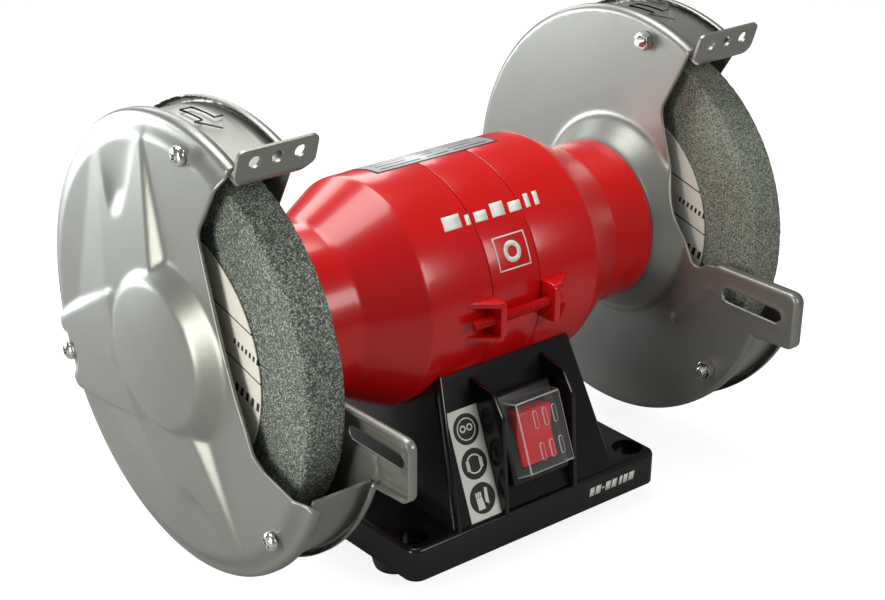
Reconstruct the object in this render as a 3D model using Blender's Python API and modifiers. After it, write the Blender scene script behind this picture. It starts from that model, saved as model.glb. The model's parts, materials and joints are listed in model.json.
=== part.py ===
"""Bench grinder for two 150 mm wheels: every piece is its own closed solid.

X runs along the shaft, the working side faces -Y, Z is up, and the feet stand on z = 0.
Sizes are in millimetres and MM turns them into metres.  Most places are given from the shaft's axis.
"""
from math import cos, hypot, pi, radians, sin

import bmesh
import bpy
from mathutils import Matrix

MM = 0.001
GAP = 0.3                      # space between pieces that touch

# base
BASE_LENGTH, BASE_DEPTH, PLINTH_HEIGHT = 132.4, 130.0, 14.2
FOOT_HEIGHT, FOOT_RADIUS, FOOT_X, FOOT_Y = 7.0, 9.0, 56.0, 40.0
PLINTH_TO_SHAFT = 80.0         # plinth's top up to the shaft's axis
SADDLE_TOP = -25.0             # where the pedestal meets the motor, from the axis
PEDESTAL_TOP = (35.0, 40.0)    # half length and half depth at the saddle
PEDESTAL_FOOT = (43.0, 62.5)   # the same at the plinth
BOLT_X, BOLT_Y, BOLT_HOLE = 58.0, 54.5, 3.2
SLOPE = radians(22.25)         # lean of the pedestal's front and back

# motor
MOTOR_RADIUS, SHELL_WALL = 46.8, 2.5
STATOR_HALF, BODY_HALF = 12.1, 42.7
NECK_RADIUS, NECK_START, NECK_END = 34.4, 65.9, 86.7
LUG_REACH, BOLT_LINE, BOLT_DROP = 55.0, 50.5, -1.3

# guards
GUARD_RADIUS, SHEET = 89.5, 1.2
PLATE_X, RIM_X, LIP = 97.0, 126.0, 4.5
BAND_RADIUS, BAND_START, BAND_END = 87.2, 62.6, 340.0
FLANGE_HEIGHT, FLANGE_LEAN, FLANGE_ENDS = 13.5, radians(17.5), (93.5, 127.0)
FLANGE_HOLE_STEP = 9.4
BRACKET_REACH = 105.8
SCREW_CIRCLE, SCREW_ANGLES = 81.0, (80.0, 200.0, 320.0)
SEAT_HEIGHT = 3.0              # cover's flat round each screw, above its rim
TENT_RISE = 6.95               # cover's roof above that flat
HUB_RADIUS, HUB_EDGE, HUB_RISE = 28.0, 10.4, 2.6
ARM_TILT = radians(20.0)       # the cover's line of symmetry dips towards the back

# wheels and shaft
WHEEL_RADIUS, WHEEL_X, WHEEL_WIDTH = 75.0, 105.0, 16.0
WHEEL_BORE, BLOTTER_RADIUS, BLOTTER = 6.7, 47.4, 0.6
FLANGE_RADIUS, SHAFT_END = 25.0, 136.0

# switch and cord gland, each in its own leaning frame
SWITCH_Z, ROCKER_TILT, GLAND_Z = -54.5, radians(8.0), -66.0

SHAFT_Y = (BRACKET_REACH - GUARD_RADIUS) / 2
SHAFT_Z = FOOT_HEIGHT + PLINTH_HEIGHT + PLINTH_TO_SHAFT
PLINTH_TOP = -PLINTH_TO_SHAFT
PLINTH_BOTTOM = PLINTH_TOP - PLINTH_HEIGHT
SIDES = {"left": -1, "right": 1}


def place(x, y, z):
    """Frame at a point given from the shaft's axis."""
    return Matrix.Translation((x * MM, (SHAFT_Y + y) * MM, (SHAFT_Z + z) * MM))


def around(radius, degrees):
    """y and z of a point on a circle round the shaft; 0 is the front and 90 the top."""
    angle = radians(degrees)
    return -radius * cos(angle), radius * sin(angle)


ALONG_X = Matrix.Rotation(pi / 2, 4, "Y")
SHAFT = place(0, 0, 0) @ ALONG_X
YZ_PLANE = Matrix(((0, 0, 1, 0), (1, 0, 0, 0), (0, 1, 0, 0), (0, 0, 0, 1)))


def front_plane(z):
    """y of the pedestal's front face at a height from the axis."""
    fall = (SADDLE_TOP - z) / (SADDLE_TOP - PLINTH_TOP)
    return -(PEDESTAL_TOP[1] + fall * (PEDESTAL_FOOT[1] - PEDESTAL_TOP[1]))


SWITCH = place(0, front_plane(SWITCH_Z), SWITCH_Z) @ Matrix.Rotation(-SLOPE, 4, "X")
GLAND = place(0, -front_plane(GLAND_Z), GLAND_Z) @ Matrix.Rotation(SLOPE - pi / 2, 4, "X")

for old in list(bpy.data.objects):
    bpy.data.objects.remove(old, do_unlink=True)

parts = bpy.data.collections.new("bench_grinder")
tools = bpy.data.collections.new("cutters")
bpy.context.scene.collection.children.link(parts)
bpy.context.scene.collection.children.link(tools)

FINISHES = {
    "red_paint": ((0.70, 0.012, 0.012), 0.22, 0.0),
    "guard_paint": ((0.36, 0.36, 0.33), 0.38, 0.6),
    "abrasive": ((0.30, 0.33, 0.29), 0.95, 0.0),
    "blotter_paper": ((0.80, 0.79, 0.70), 0.8, 0.0),
    "black_body": ((0.012, 0.013, 0.014), 0.32, 0.0),
    "zinc": ((0.70, 0.70, 0.69), 0.25, 1.0),
    "steel": ((0.45, 0.45, 0.45), 0.35, 1.0),
    "copper": ((0.60, 0.25, 0.10), 0.4, 1.0),
    "rubber": ((0.015, 0.015, 0.015), 0.8, 0.0),
    "rocker_red": ((0.65, 0.02, 0.02), 0.3, 0.0),
    "clear_boot": ((0.85, 0.86, 0.85), 0.15, 0.0),
    "capacitor_can": ((0.65, 0.66, 0.66), 0.4, 0.3),
}


def finish(name):
    """The shared material of that name."""
    found = bpy.data.materials.get(name)
    if found:
        return found
    colour, roughness, metallic = FINISHES[name]
    made = bpy.data.materials.new(name)
    made.use_nodes = True
    shader = made.node_tree.nodes["Principled BSDF"]
    shader.inputs["Base Color"].default_value = (*colour, 1)
    shader.inputs["Roughness"].default_value = roughness
    shader.inputs["Metallic"].default_value = metallic
    return made


def add(name, mesh, frame, look):
    """Puts a mesh in the scene: a part if it has a look, a hidden cutter if not."""
    piece = bpy.data.objects.new(name, mesh)
    piece.matrix_world = frame
    if look:
        parts.objects.link(piece)
        mesh.materials.append(finish(look))
    else:
        tools.objects.link(piece)
        piece.hide_render = True
        piece.display_type = "WIRE"
    return piece


def from_bmesh(name, shape, frame, look=None, smooth=False):
    mesh = bpy.data.meshes.new(name)
    shape.to_mesh(mesh)
    shape.free()
    if smooth:
        mesh.shade_smooth()
        mesh.set_sharp_from_angle(angle=radians(35))
    return add(name, mesh, frame, look)


def turned(name, profile, look=None, side=1, segments=20, closed=True, frame=SHAFT):
    """A profile of (radius, height) points spun about the frame's Z axis.

    The outer side runs from the highest point down; side -1 turns the piece end for end.
    """
    points = profile if side > 0 else [(radius, -height) for radius, height in reversed(profile)]
    shape = bmesh.new()
    line = [shape.verts.new((radius * MM, 0, height * MM)) for radius, height in points]
    pairs = list(zip(line, line[1:]))
    if closed:
        pairs.append((line[-1], line[0]))
    for start, end in pairs:
        shape.edges.new((start, end))
    piece = from_bmesh(name, shape, frame, look)
    spin = piece.modifiers.new("spin", "SCREW")
    spin.angle = 2 * pi
    spin.steps = spin.render_steps = segments
    spin.use_merge_vertices = True
    spin.merge_threshold = 0.00001
    spin.use_smooth_shade = True
    return piece


def rod(name, radius, low, high, frame, look=None, segments=16):
    """A plain cylinder along the frame's Z axis."""
    shape = bmesh.new()
    middle = Matrix.Translation((0, 0, (low + high) / 2 * MM))
    bmesh.ops.create_cone(shape, cap_ends=True, segments=segments, radius1=radius * MM,
                          radius2=radius * MM, depth=(high - low) * MM, matrix=middle)
    return from_bmesh(name, shape, frame, look)


def block(name, size, centre, frame, look=None, top=None, bevel=0.0):
    """A box, or a frustum when the half sizes of its top are given."""
    shape = bmesh.new()
    bmesh.ops.create_cube(shape, size=1)
    for corner in shape.verts:
        if top and corner.co.z > 0:
            corner.co.x *= top[0] * 2 / size[0]
            corner.co.y *= top[1] * 2 / size[1]
        corner.co = [(value * edge + middle) * MM
                     for value, edge, middle in zip(corner.co, size, centre)]
    piece = from_bmesh(name, shape, frame, look)
    if bevel:
        rounding = piece.modifiers.new("rounding", "BEVEL")
        rounding.width = bevel * MM
        rounding.segments = 2
    return piece


def slab(name, outline, low, high, frame, look=None):
    """A flat outline in the frame's XY plane, filled from low to high along its Z axis."""
    curve = bpy.data.curves.new(name, "CURVE")
    curve.dimensions = "2D"
    curve.fill_mode = "BOTH"
    curve.extrude = (high - low) / 2 * MM
    spline = curve.splines.new("POLY")
    spline.points.add(len(outline) - 1)
    for point, (across, up) in zip(spline.points, outline):
        point.co = (across * MM, up * MM, 0, 1)
    spline.use_cyclic_u = True
    middle = Matrix.Translation((0, 0, (low + high) / 2 * MM))
    guide = add(name + "_outline", curve, frame @ middle, None)
    graph = bpy.context.evaluated_depsgraph_get()
    mesh = bpy.data.meshes.new_from_object(guide.evaluated_get(graph))
    place_of_guide = guide.matrix_world.copy()
    bpy.data.objects.remove(guide)
    shape = bmesh.new()
    shape.from_mesh(mesh)
    bmesh.ops.remove_doubles(shape, verts=shape.verts, dist=0.00001)
    bmesh.ops.recalc_face_normals(shape, faces=shape.faces)
    bpy.data.meshes.remove(mesh)
    return from_bmesh(name, shape, place_of_guide, look)


def side_slab(name, outline, low, high, side=1, look=None):
    """A slab whose outline is (y, z) from the axis, filled from low to high along X."""
    if side < 0:
        low, high = -high, -low
    return slab(name, outline, low, high, place(0, 0, 0) @ YZ_PLANE, look)


def combine(piece, tool, operation):
    step = piece.modifiers.new(operation.lower(), "BOOLEAN")
    step.operation = operation
    step.object = tool
    step.solver = "EXACT"
    return piece


def cut(piece, *cutters):
    for cutter in cutters:
        combine(piece, cutter, "DIFFERENCE")
    return piece


def join(piece, *others):
    for other in others:
        combine(piece, other, "UNION")
    return piece


def make_base():
    """Plinth and pedestal in one casting, hollow from below, with two cheeks beside the switch."""
    centre = place(0, 0, 0)
    base = block("base_housing", (BASE_LENGTH, BASE_DEPTH, PLINTH_HEIGHT),
                 (0, 0, PLINTH_TOP - PLINTH_HEIGHT / 2), centre, "black_body", bevel=2.5)
    rise = SADDLE_TOP - PLINTH_TOP
    overlap = 2.0
    pedestal = block("pedestal", (2 * PEDESTAL_FOOT[0], 2 * PEDESTAL_FOOT[1], rise + overlap),
                     (0, 0, PLINTH_TOP + (rise - overlap) / 2), centre, top=PEDESTAL_TOP)
    join(base, pedestal)
    cheek = [(-38, -28), (-55, -30.5), (-61.5, -39.5), (-65, -78), (-65, -81), (-58, -81)]
    for name, side in SIDES.items():
        join(base, side_slab("cheek_" + name, cheek, 17.4, 19.4, side))
    wall, roof = 3.5, -50.5
    inner = (PEDESTAL_FOOT[0] - wall, PEDESTAL_FOOT[1] - wall)
    hollow = block("hollow", (2 * inner[0], 2 * inner[1], roof - PLINTH_BOTTOM + 1),
                   (0, 0, (roof + PLINTH_BOTTOM - 1) / 2), centre, top=(35.5, 46.0))
    recess = block("plate_recess", (104, 116, 3.6), (0, 0, PLINTH_BOTTOM), centre)
    saddle = rod("saddle", MOTOR_RADIUS + GAP, -60, 60, SHAFT, segments=40)
    switch_hole = block("switch_hole", (22.2, 30, 28.2), (0, 9, 0), SWITCH)
    cut(base, saddle, hollow, recess, switch_hole)
    cut(base, rod("gland_hole", 6.0, -8, 8, GLAND))
    for name, side in SIDES.items():
        cut(base, rod("motor_screw_hole_" + name, 2.3, -56, -40, place(31 * side, 0, 0), segments=12))
        for end, way in (("front", -1), ("rear", 1)):
            corner = place(BOLT_X * side, BOLT_Y * way, 0)
            cut(base, rod(f"bolt_hole_{end}_{name}", BOLT_HOLE, PLINTH_BOTTOM - 1, PLINTH_TOP + 1, corner))
            cut(base, rod(f"bolt_recess_{end}_{name}", 6.5, PLINTH_TOP - 5, PLINTH_TOP + 1, corner))


def make_base_fittings():
    centre = place(0, 0, 0)
    floor = PLINTH_BOTTOM + 1.8 - GAP
    block("base_plate", (103.4, 115.4, 1.3), (0, 0, floor - 0.65), centre, "steel")
    foot = [(0, -GAP), (FOOT_RADIUS, -GAP), (FOOT_RADIUS, -3.5), (FOOT_RADIUS - 1.4, -FOOT_HEIGHT),
            (0, -FOOT_HEIGHT)]
    for name, side in SIDES.items():
        for end, way in (("front", -1), ("rear", 1)):
            corner = place(FOOT_X * side, FOOT_Y * way, PLINTH_BOTTOM)
            turned(f"foot_{end}_{name}", foot, "rubber", segments=16, closed=False, frame=corner)
        screw = [(0, -42), (2.0, -42), (2.0, -50.5 - GAP), (4.0, -50.5 - GAP), (4.0, -54), (0, -54)]
        turned("motor_screw_" + name, screw, "zinc", segments=12, closed=False,
               frame=place(31 * side, 0, 0))
    can = [(0, 25), (12.5, 25), (12.5, -25), (0, -25)]
    turned("capacitor", can, "capacitor_can", segments=20, closed=False,
           frame=place(0, 24, -74) @ ALONG_X)
    gland = [(5.6, 9), (8.5, 4), (8.5, GAP), (5.6, GAP), (5.6, -7), (3.5, -7), (3.5, 9)]
    turned("cord_gland", gland, "rubber", segments=16, frame=GLAND)


def make_switch():
    """Bezel and body, a rocker that tips about X, and a clear boot over it."""
    body = block("switch_body", (29, 6.1, 37), (0, -3.05 - GAP, 0), SWITCH, "black_body", bevel=0.8)
    join(body, block("switch_can", (21.5, 22, 27.5), (0, 9, 0), SWITCH))
    cut(body, block("rocker_pocket", (19.2, 16, 26), (0, -1, 0), SWITCH))
    face, back, half = -9.5, 4.5, 11.2
    outline = [(face, half), (face + 2.2, 0), (face, -half), (-1, -half), (back, -4), (back, 4),
               (-1, half)]
    tipped = SWITCH @ Matrix.Rotation(ROCKER_TILT, 4, "X")
    slab("switch_rocker", outline, -9.1, 9.1, tipped @ YZ_PLANE, "rocker_red")
    boot = block("switch_cover", (25.5, 7.8, 31.5), (0, -10.6, 0), SWITCH, "clear_boot", bevel=2.0)
    cut(boot, block("boot_inside", (23.3, 7.8, 29.3), (0, -9.5, 0), SWITCH, bevel=1.2))


def make_motor():
    """Stator ring clamped between two end shells, which carry the bearings."""
    inner = MOTOR_RADIUS - SHELL_WALL
    neck = NECK_RADIUS - SHELL_WALL
    seam = STATOR_HALF + GAP
    shell = [(NECK_RADIUS, NECK_END), (NECK_RADIUS, NECK_START), (MOTOR_RADIUS, BODY_HALF),
             (MOTOR_RADIUS, seam), (inner, seam), (inner, BODY_HALF - 0.6),
             (neck, NECK_START - 0.6), (neck, 83.2), (20.5, 83.2), (20.5, 70.5), (17.6, 70.5),
             (17.6, 82.2), (10.5, 82.2), (10.5, NECK_END)]
    for name, side in SIDES.items():
        piece = turned("motor_shell_" + name, shell, "red_paint", side, segments=28)
        for end, way in (("front", -1), ("rear", 1)):
            corners = [(seam, 44.6), (seam, LUG_REACH), (seam + 3.2, LUG_REACH), (28, 44.6)]
            outline = [(side * x, way * y) for x, y in corners]
            lug = slab(f"lug_{end}_{name}", outline, BOLT_DROP - 8, BOLT_DROP + 8, place(0, 0, 0))
            pocket = block(f"lug_pocket_{end}_{name}", (20, 20, 12.4),
                           (side * (seam + 3.2 + 10), way * (MOTOR_RADIUS + 0.2 + 10), BOLT_DROP),
                           place(0, 0, 0))
            cut(lug, pocket)
            hole = rod(f"lug_hole_{end}_{name}", 2.3, -40, 40,
                       place(0, way * BOLT_LINE, BOLT_DROP) @ ALONG_X, segments=12)
            join(piece, lug)
            cut(piece, hole)
        cut(piece, rod("shell_screw_hole_" + name, 2.3, -50, -38, place(31 * side, 0, 0), segments=12))
        coil = [(36, 27.5), (41.5, 23), (41.5, seam + 0.4), (29, seam + 0.4), (28.5, 23), (31, 27.5)]
        turned("winding_" + name, coil, "copper", side)
    core = [(MOTOR_RADIUS, STATOR_HALF), (MOTOR_RADIUS, -STATOR_HALF), (27.3, -STATOR_HALF),
            (27.3, STATOR_HALF)]
    turned("stator_core", core, "red_paint", segments=28)
    bolt = [(0, 19), (2.8, 19), (3.3, 16.2), (2.0, 16.2), (2.0, -26), (0, -26)]
    for end, way in (("front", -1), ("rear", 1)):
        turned("clamp_bolt_" + end, bolt, "red_paint", segments=12, closed=False,
               frame=place(0, way * BOLT_LINE, BOLT_DROP) @ ALONG_X)


def make_spindle():
    """Shaft with its rotor, bearings, clamping flanges, wheels and nuts."""
    half = [(6.0, SHAFT_END), (6.0, 122.5), (6.3, 122.5), (6.3, 98), (8.4, 98), (8.4, 82.5),
            (7.5, 82.5), (7.5, 70.5), (9.0, 70.5)]
    other = [(radius, -x) for radius, x in reversed(half)]
    turned("shaft", [(0, SHAFT_END)] + half + other + [(0, -SHAFT_END)], "steel", segments=14,
           closed=False)
    rotor = [(22, 17), (22, 12.5), (26.5, 12.5), (26.5, -12.5), (22, -12.5), (22, -17), (9.3, -17),
             (9.3, 17)]
    turned("rotor", rotor, "steel", segments=20)
    for name, side in SIDES.items():
        make_bearing(name, side)
        make_wheel(name, side)


def make_bearing(name, side):
    """Deep-groove ball bearing: two races and seven balls in a cage."""
    low, high, middle = 71.0, 81.8, 76.4
    outer = [(17.3, high), (17.3, low), (14.6, low), (14.6, middle - 2), (15.5, middle), (14.6, middle + 2),
             (14.6, high)]
    inner = [(10.4, high), (10.4, middle + 2), (9.5, middle), (10.4, middle - 2), (10.4, low), (7.8, low),
             (7.8, high)]
    turned("outer_race_" + name, outer, "steel", side)
    turned("inner_race_" + name, inner, "steel", side)
    cage = turned("ball_cage_" + name,
                  [(13.1, middle + 1.6), (13.1, middle - 1.6), (11.9, middle - 1.6), (11.9, middle + 1.6)],
                  "steel", side)
    balls = bmesh.new()
    for number in range(7):
        y, z = around(12.5, 360 / 7 * number)
        bmesh.ops.create_uvsphere(balls, u_segments=6, v_segments=4, radius=2.5 * MM,
                                  matrix=Matrix.Translation((z * MM, y * MM, side * middle * MM)))
    join(cage, from_bmesh("balls_" + name, balls, SHAFT))


def make_wheel(name, side):
    near, far = WHEEL_X, WHEEL_X + WHEEL_WIDTH
    wheel = [(WHEEL_RADIUS, far), (WHEEL_RADIUS, near), (WHEEL_BORE, near), (WHEEL_BORE, far)]
    turned("grinding_wheel_" + name, wheel, "abrasive", side, segments=40)
    for face, low in (("inner", near - GAP - BLOTTER), ("outer", far + GAP)):
        paper = [(BLOTTER_RADIUS, low + BLOTTER), (BLOTTER_RADIUS, low), (8.5, low), (8.5, low + BLOTTER)]
        turned(f"blotter_{face}_{name}", paper, "blotter_paper", side, segments=24)
    inside = near - 2 * GAP - BLOTTER
    inner = [(FLANGE_RADIUS, inside), (FLANGE_RADIUS, inside - 3), (14, inside - 5.4), (6.6, inside - 5.4),
             (6.6, inside - 1), (16, inside - 1), (16, inside)]
    turned("flange_inner_" + name, inner, "zinc", side)
    outside = far + 2 * GAP + BLOTTER
    outer = [(6.6, outside + 4.8), (14, outside + 4.8), (FLANGE_RADIUS, outside + 2.5),
             (FLANGE_RADIUS, outside), (16, outside), (16, outside + 1), (6.6, outside + 1)]
    turned("flange_outer_" + name, outer, "zinc", side)
    seat = outside + 4.8 + GAP
    make_nut("spindle_nut_" + name, 19.0, 6.3, seat, seat + 7, SHAFT, side)


def make_nut(name, flats, bore, low, high, frame, side):
    """A hexagon nut along the frame's Z axis."""
    if side < 0:
        low, high = -high, -low
    nut = rod(name, flats / 2 / cos(pi / 6), low, high, frame, "zinc", segments=6)
    cut(nut, rod(name + "_bore", bore, low - 1, high + 1, frame, segments=12))


def make_guard(name, side):
    make_guard_plate(name, side)
    make_guard_band(name, side)
    make_guard_cover(name, side)
    for number, angle in enumerate(SCREW_ANGLES, 1):
        y, z = around(SCREW_CIRCLE, angle)
        frame = place(0, y, z) @ ALONG_X
        head = RIM_X + SEAT_HEIGHT + GAP
        screw = [(0, head + 2.6), (2.4, head + 2.2), (3.8, head), (2.0, head), (2.0, 91), (0, 91)]
        turned(f"guard_screw_{name}_{number}", screw, "zinc", side, segments=12, closed=False, frame=frame)
        make_nut(f"guard_nut_{name}_{number}", 7.0, 2.25, PLATE_X - GAP - 3.2, PLATE_X - GAP, frame, side)


def make_guard_plate(name, side):
    """Pressed plate with a cup against the motor, a lip, and the tool-rest bracket."""
    lip = PLATE_X + LIP
    dish = [(GUARD_RADIUS - SHEET, lip), (GUARD_RADIUS, lip), (GUARD_RADIUS, PLATE_X + 0.9),
            (GUARD_RADIUS - 0.9, PLATE_X), (43, PLATE_X), (33, NECK_END + GAP), (10.5, NECK_END + GAP),
            (10.5, NECK_END + GAP + SHEET), (32.4, NECK_END + GAP + SHEET), (42.4, PLATE_X + SHEET),
            (GUARD_RADIUS - SHEET, PLATE_X + SHEET)]
    plate = turned("guard_plate_" + name, dish, "guard_paint", side, segments=32)
    working_side = [(-40, 86), (-34, 72), (-24, 53.4), (-25, 48.5), (-31.6, 28.4), (-40, 4.3), (-47, -7.9),
                    (-51.4, -10), (-56, -6.5), (-60, -5.7), (-103, -3.2), (-103, 86)]
    cut(plate, side_slab("plate_opening_" + name, working_side, 80, 110, side))
    bracket = [(-60, -5.7), (-70, -12), (-85.5, -29.6), (-103.6, -28.2), (-BRACKET_REACH, -26),
               (-BRACKET_REACH, -5.5), (-103.5, -3)]
    join(plate, side_slab("bracket_" + name, bracket, PLATE_X, lip, side))
    tray = [(-50, -7.1), (-66, -16), (-83.2, -27), (-86, -28.2), (-103, -26.9), (-104.5, -25.4),
            (-104.5, -6.2), (-102.6, -4.3)]
    cut(plate, side_slab("bracket_tray_" + name, tray, PLATE_X + SHEET, lip + 2, side))
    cut(plate, side_slab("rest_slot_" + name, slot_outline((-69.5, -15.5), (-95.5, -15.7), 2.9),
                         PLATE_X - 3, PLATE_X + 3, side))
    drill_screw_holes(plate, name + "_plate")


def slot_outline(start, end, half_width, steps=5):
    """A slot with round ends between two centres."""
    run = hypot(end[0] - start[0], end[1] - start[1])
    along = ((end[0] - start[0]) / run, (end[1] - start[1]) / run)
    outline = []
    for centre, turn in ((end, -pi / 2), (start, pi / 2)):
        for step in range(steps + 1):
            angle = turn + pi * step / steps
            forward, across = half_width * cos(angle), half_width * sin(angle)
            outline.append((centre[0] + forward * along[0] - across * along[1],
                            centre[1] + forward * along[1] + across * along[0]))
    return outline


def drill_screw_holes(piece, name):
    for number, angle in enumerate(SCREW_ANGLES, 1):
        y, z = around(SCREW_CIRCLE, angle)
        cut(piece, rod(f"hole_{name}_{number}", 2.4, -140, 140, place(0, y, z) @ ALONG_X, segments=12))


def make_guard_band(name, side):
    """Strip bent round the wheel, its upper end turned out into a flange with three holes."""
    low, high = PLATE_X + SHEET + 0.6, RIM_X - SHEET - 0.6
    middle = BAND_RADIUS - SHEET / 2
    y, z = around(middle, BAND_START)
    strip = bmesh.new()
    ends = [strip.verts.new((side * x * MM, y * MM, z * MM)) for x in (low, high)]
    edge = strip.edges.new(ends)
    bmesh.ops.spin(strip, geom=ends + [edge], cent=(0, 0, 0), axis=(1, 0, 0), steps=26,
                   angle=radians(BAND_START - BAND_END))
    lean = (-sin(FLANGE_LEAN), cos(FLANGE_LEAN))
    for step in (1.0, FLANGE_HEIGHT - 1.0):
        grown = bmesh.ops.extrude_edge_only(strip, edges=[edge])["geom"]
        edge = next(item for item in grown if isinstance(item, bmesh.types.BMEdge))
        for corner, end in zip(sorted(edge.verts, key=lambda vert: abs(vert.co.x)), FLANGE_ENDS):
            corner.co.x = side * end * MM
            corner.co.y += lean[0] * step * MM
            corner.co.z += lean[1] * step * MM
    bmesh.ops.recalc_face_normals(strip, faces=strip.faces)
    band = from_bmesh("guard_band_" + name, strip, place(0, 0, 0), "guard_paint", smooth=True)
    wall = band.modifiers.new("wall", "SOLIDIFY")
    wall.thickness = SHEET * MM
    wall.offset = 0
    through = Matrix.Rotation(pi / 2 + FLANGE_LEAN, 4, "X")
    for number in (-1, 0, 1):
        x = side * (sum(FLANGE_ENDS) / 2 + FLANGE_HOLE_STEP * number)
        hole = place(x, y + lean[0] * 8.3, z + lean[1] * 8.3) @ through
        cut(band, rod(f"flange_hole_{name}_{number + 2}", 2.4, -6, 6, hole, segments=12))


def soft_min(first, second, width):
    share = min(max(0.5 + 0.5 * (second - first) / width, 0), 1)
    return second + (first - second) * share - width * share * (1 - share)


def soft_max(first, second, width):
    return -soft_min(-first, -second, width)


def cover_height(y, z):
    """How far the pressed cover stands out of its rim: a tent, a rear arm and a hub dome."""
    radius = hypot(y, z)
    along = y * cos(ARM_TILT) - z * sin(ARM_TILT)
    across = abs(y * sin(ARM_TILT) + z * cos(ARM_TILT))
    tent = SEAT_HEIGHT + TENT_RISE * max(1 - across / 84, 0)
    rear_crest = 18 + (80 - across) * 0.216
    roof = tent - 0.12 * soft_max(along - rear_crest, 0, 1.2)
    middle, half = 9.6 - (across - 58) * 0.4, max(7 + (across - 58) * 0.39, 3)
    bowl = max(1 - ((along - middle) / half) ** 2, 0) * min(max((across - 52) / 10, 0), 1)
    roof -= 0.95 * (tent - SEAT_HEIGHT) * bowl
    front_crest, ramp_foot = -4.8 - (across - 24) * 0.21, -12 - (across - 24) * 0.1
    ramp = tent - (tent - SEAT_HEIGHT) * (front_crest - along) / max(front_crest - ramp_foot, 0.6)
    height = soft_max(soft_min(roof, ramp, 0.4), SEAT_HEIGHT, 0.4)
    if along > 15:
        arm = SEAT_HEIGHT + 6.3 - 0.085 * (along - 30) - 0.0022 * across ** 2
        arm -= 0.25 * max(28 - along, 0) + 0.7 * soft_max(across - 24 + 0.2 * (along - 30), 0, 1)
        height = soft_max(height, arm, 0.5)
    dome = soft_min(HUB_EDGE + HUB_RISE * (1 - (radius / HUB_RADIUS) ** 2),
                    HUB_EDGE - 0.75 * (radius - HUB_RADIUS), 0.6)
    height = soft_max(height, dome, 0.8)
    for angle in SCREW_ANGLES:
        seat_y, seat_z = around(SCREW_CIRCLE, angle)
        away = hypot(y - seat_y, z - seat_z)
        share = min(max((away - 15.5) / 5, 0), 1)
        height = SEAT_HEIGHT + (height - SEAT_HEIGHT) * share
    return height * min(max((86 - radius) / 5, 0), 1)


def make_guard_cover(name, side):
    rings = [(0, 0), (14, 0), (28, 0), (34, 0), (45, 0), (58, 0), (70, 0), (81, 0), (GUARD_RADIUS - 0.9, 0),
             (GUARD_RADIUS, -0.9), (GUARD_RADIUS, -LIP)]
    shape = bmesh.new()
    line = [shape.verts.new((side * (RIM_X + step) * MM, 0, radius * MM)) for radius, step in rings]
    for start, end in zip(line, line[1:]):
        shape.edges.new((start, end))
    bmesh.ops.spin(shape, geom=shape.verts[:] + shape.edges[:], cent=(0, 0, 0), axis=(1, 0, 0), steps=30,
                   angle=2 * pi, use_merge=True)
    bmesh.ops.remove_doubles(shape, verts=shape.verts, dist=0.00001)
    for point in shape.verts:
        lift = cover_height(point.co.y / MM, point.co.z / MM)
        point.co.x += side * lift * MM
    bmesh.ops.recalc_face_normals(shape, faces=shape.faces)
    if max(shape.faces, key=lambda face: abs(face.calc_center_median().x)).normal.x * side < 0:
        bmesh.ops.reverse_faces(shape, faces=shape.faces)
    cover = from_bmesh("guard_cover_" + name, shape, place(0, 0, 0), "guard_paint", smooth=True)
    wall = cover.modifiers.new("wall", "SOLIDIFY")
    wall.thickness = SHEET * MM
    wall.offset = -1
    working_side = [(-45, 97), (-36.5, 78), (-21, 53), (-25, 40), (-30, 24), (-36, 8), (-42, -6), (-46, -13),
                    (-50.5, -23), (-57, -27), (-75, -31), (-100, -36.5), (-100, 97)]
    cut(cover, side_slab("cover_opening_" + name, working_side, 115, 150, side))
    drill_screw_holes(cover, name + "_cover")


make_base()
make_base_fittings()
make_switch()
make_motor()
make_spindle()
for side_name, side_sign in SIDES.items():
    make_guard(side_name, side_sign)
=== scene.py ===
import json
import math

import bmesh
import bpy
from mathutils import Matrix, Vector, noise

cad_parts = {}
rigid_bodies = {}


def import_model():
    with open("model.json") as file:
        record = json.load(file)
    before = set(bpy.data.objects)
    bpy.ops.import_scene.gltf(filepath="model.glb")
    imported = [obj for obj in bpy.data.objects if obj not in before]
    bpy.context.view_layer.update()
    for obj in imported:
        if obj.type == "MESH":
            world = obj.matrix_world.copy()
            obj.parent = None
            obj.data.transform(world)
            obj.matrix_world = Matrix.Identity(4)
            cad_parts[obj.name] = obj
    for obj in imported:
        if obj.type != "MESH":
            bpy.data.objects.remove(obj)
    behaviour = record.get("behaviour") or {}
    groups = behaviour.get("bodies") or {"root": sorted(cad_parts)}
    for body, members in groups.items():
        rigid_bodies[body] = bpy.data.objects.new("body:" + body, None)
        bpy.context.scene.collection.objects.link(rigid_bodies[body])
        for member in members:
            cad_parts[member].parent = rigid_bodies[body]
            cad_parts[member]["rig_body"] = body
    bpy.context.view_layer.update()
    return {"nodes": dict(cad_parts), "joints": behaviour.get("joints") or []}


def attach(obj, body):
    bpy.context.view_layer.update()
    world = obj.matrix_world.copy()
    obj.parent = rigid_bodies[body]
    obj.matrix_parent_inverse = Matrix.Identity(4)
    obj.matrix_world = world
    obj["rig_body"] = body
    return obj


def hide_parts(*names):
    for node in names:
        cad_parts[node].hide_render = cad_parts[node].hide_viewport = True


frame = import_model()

print("frame loaded:", len(frame["nodes"]), "nodes")

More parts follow.
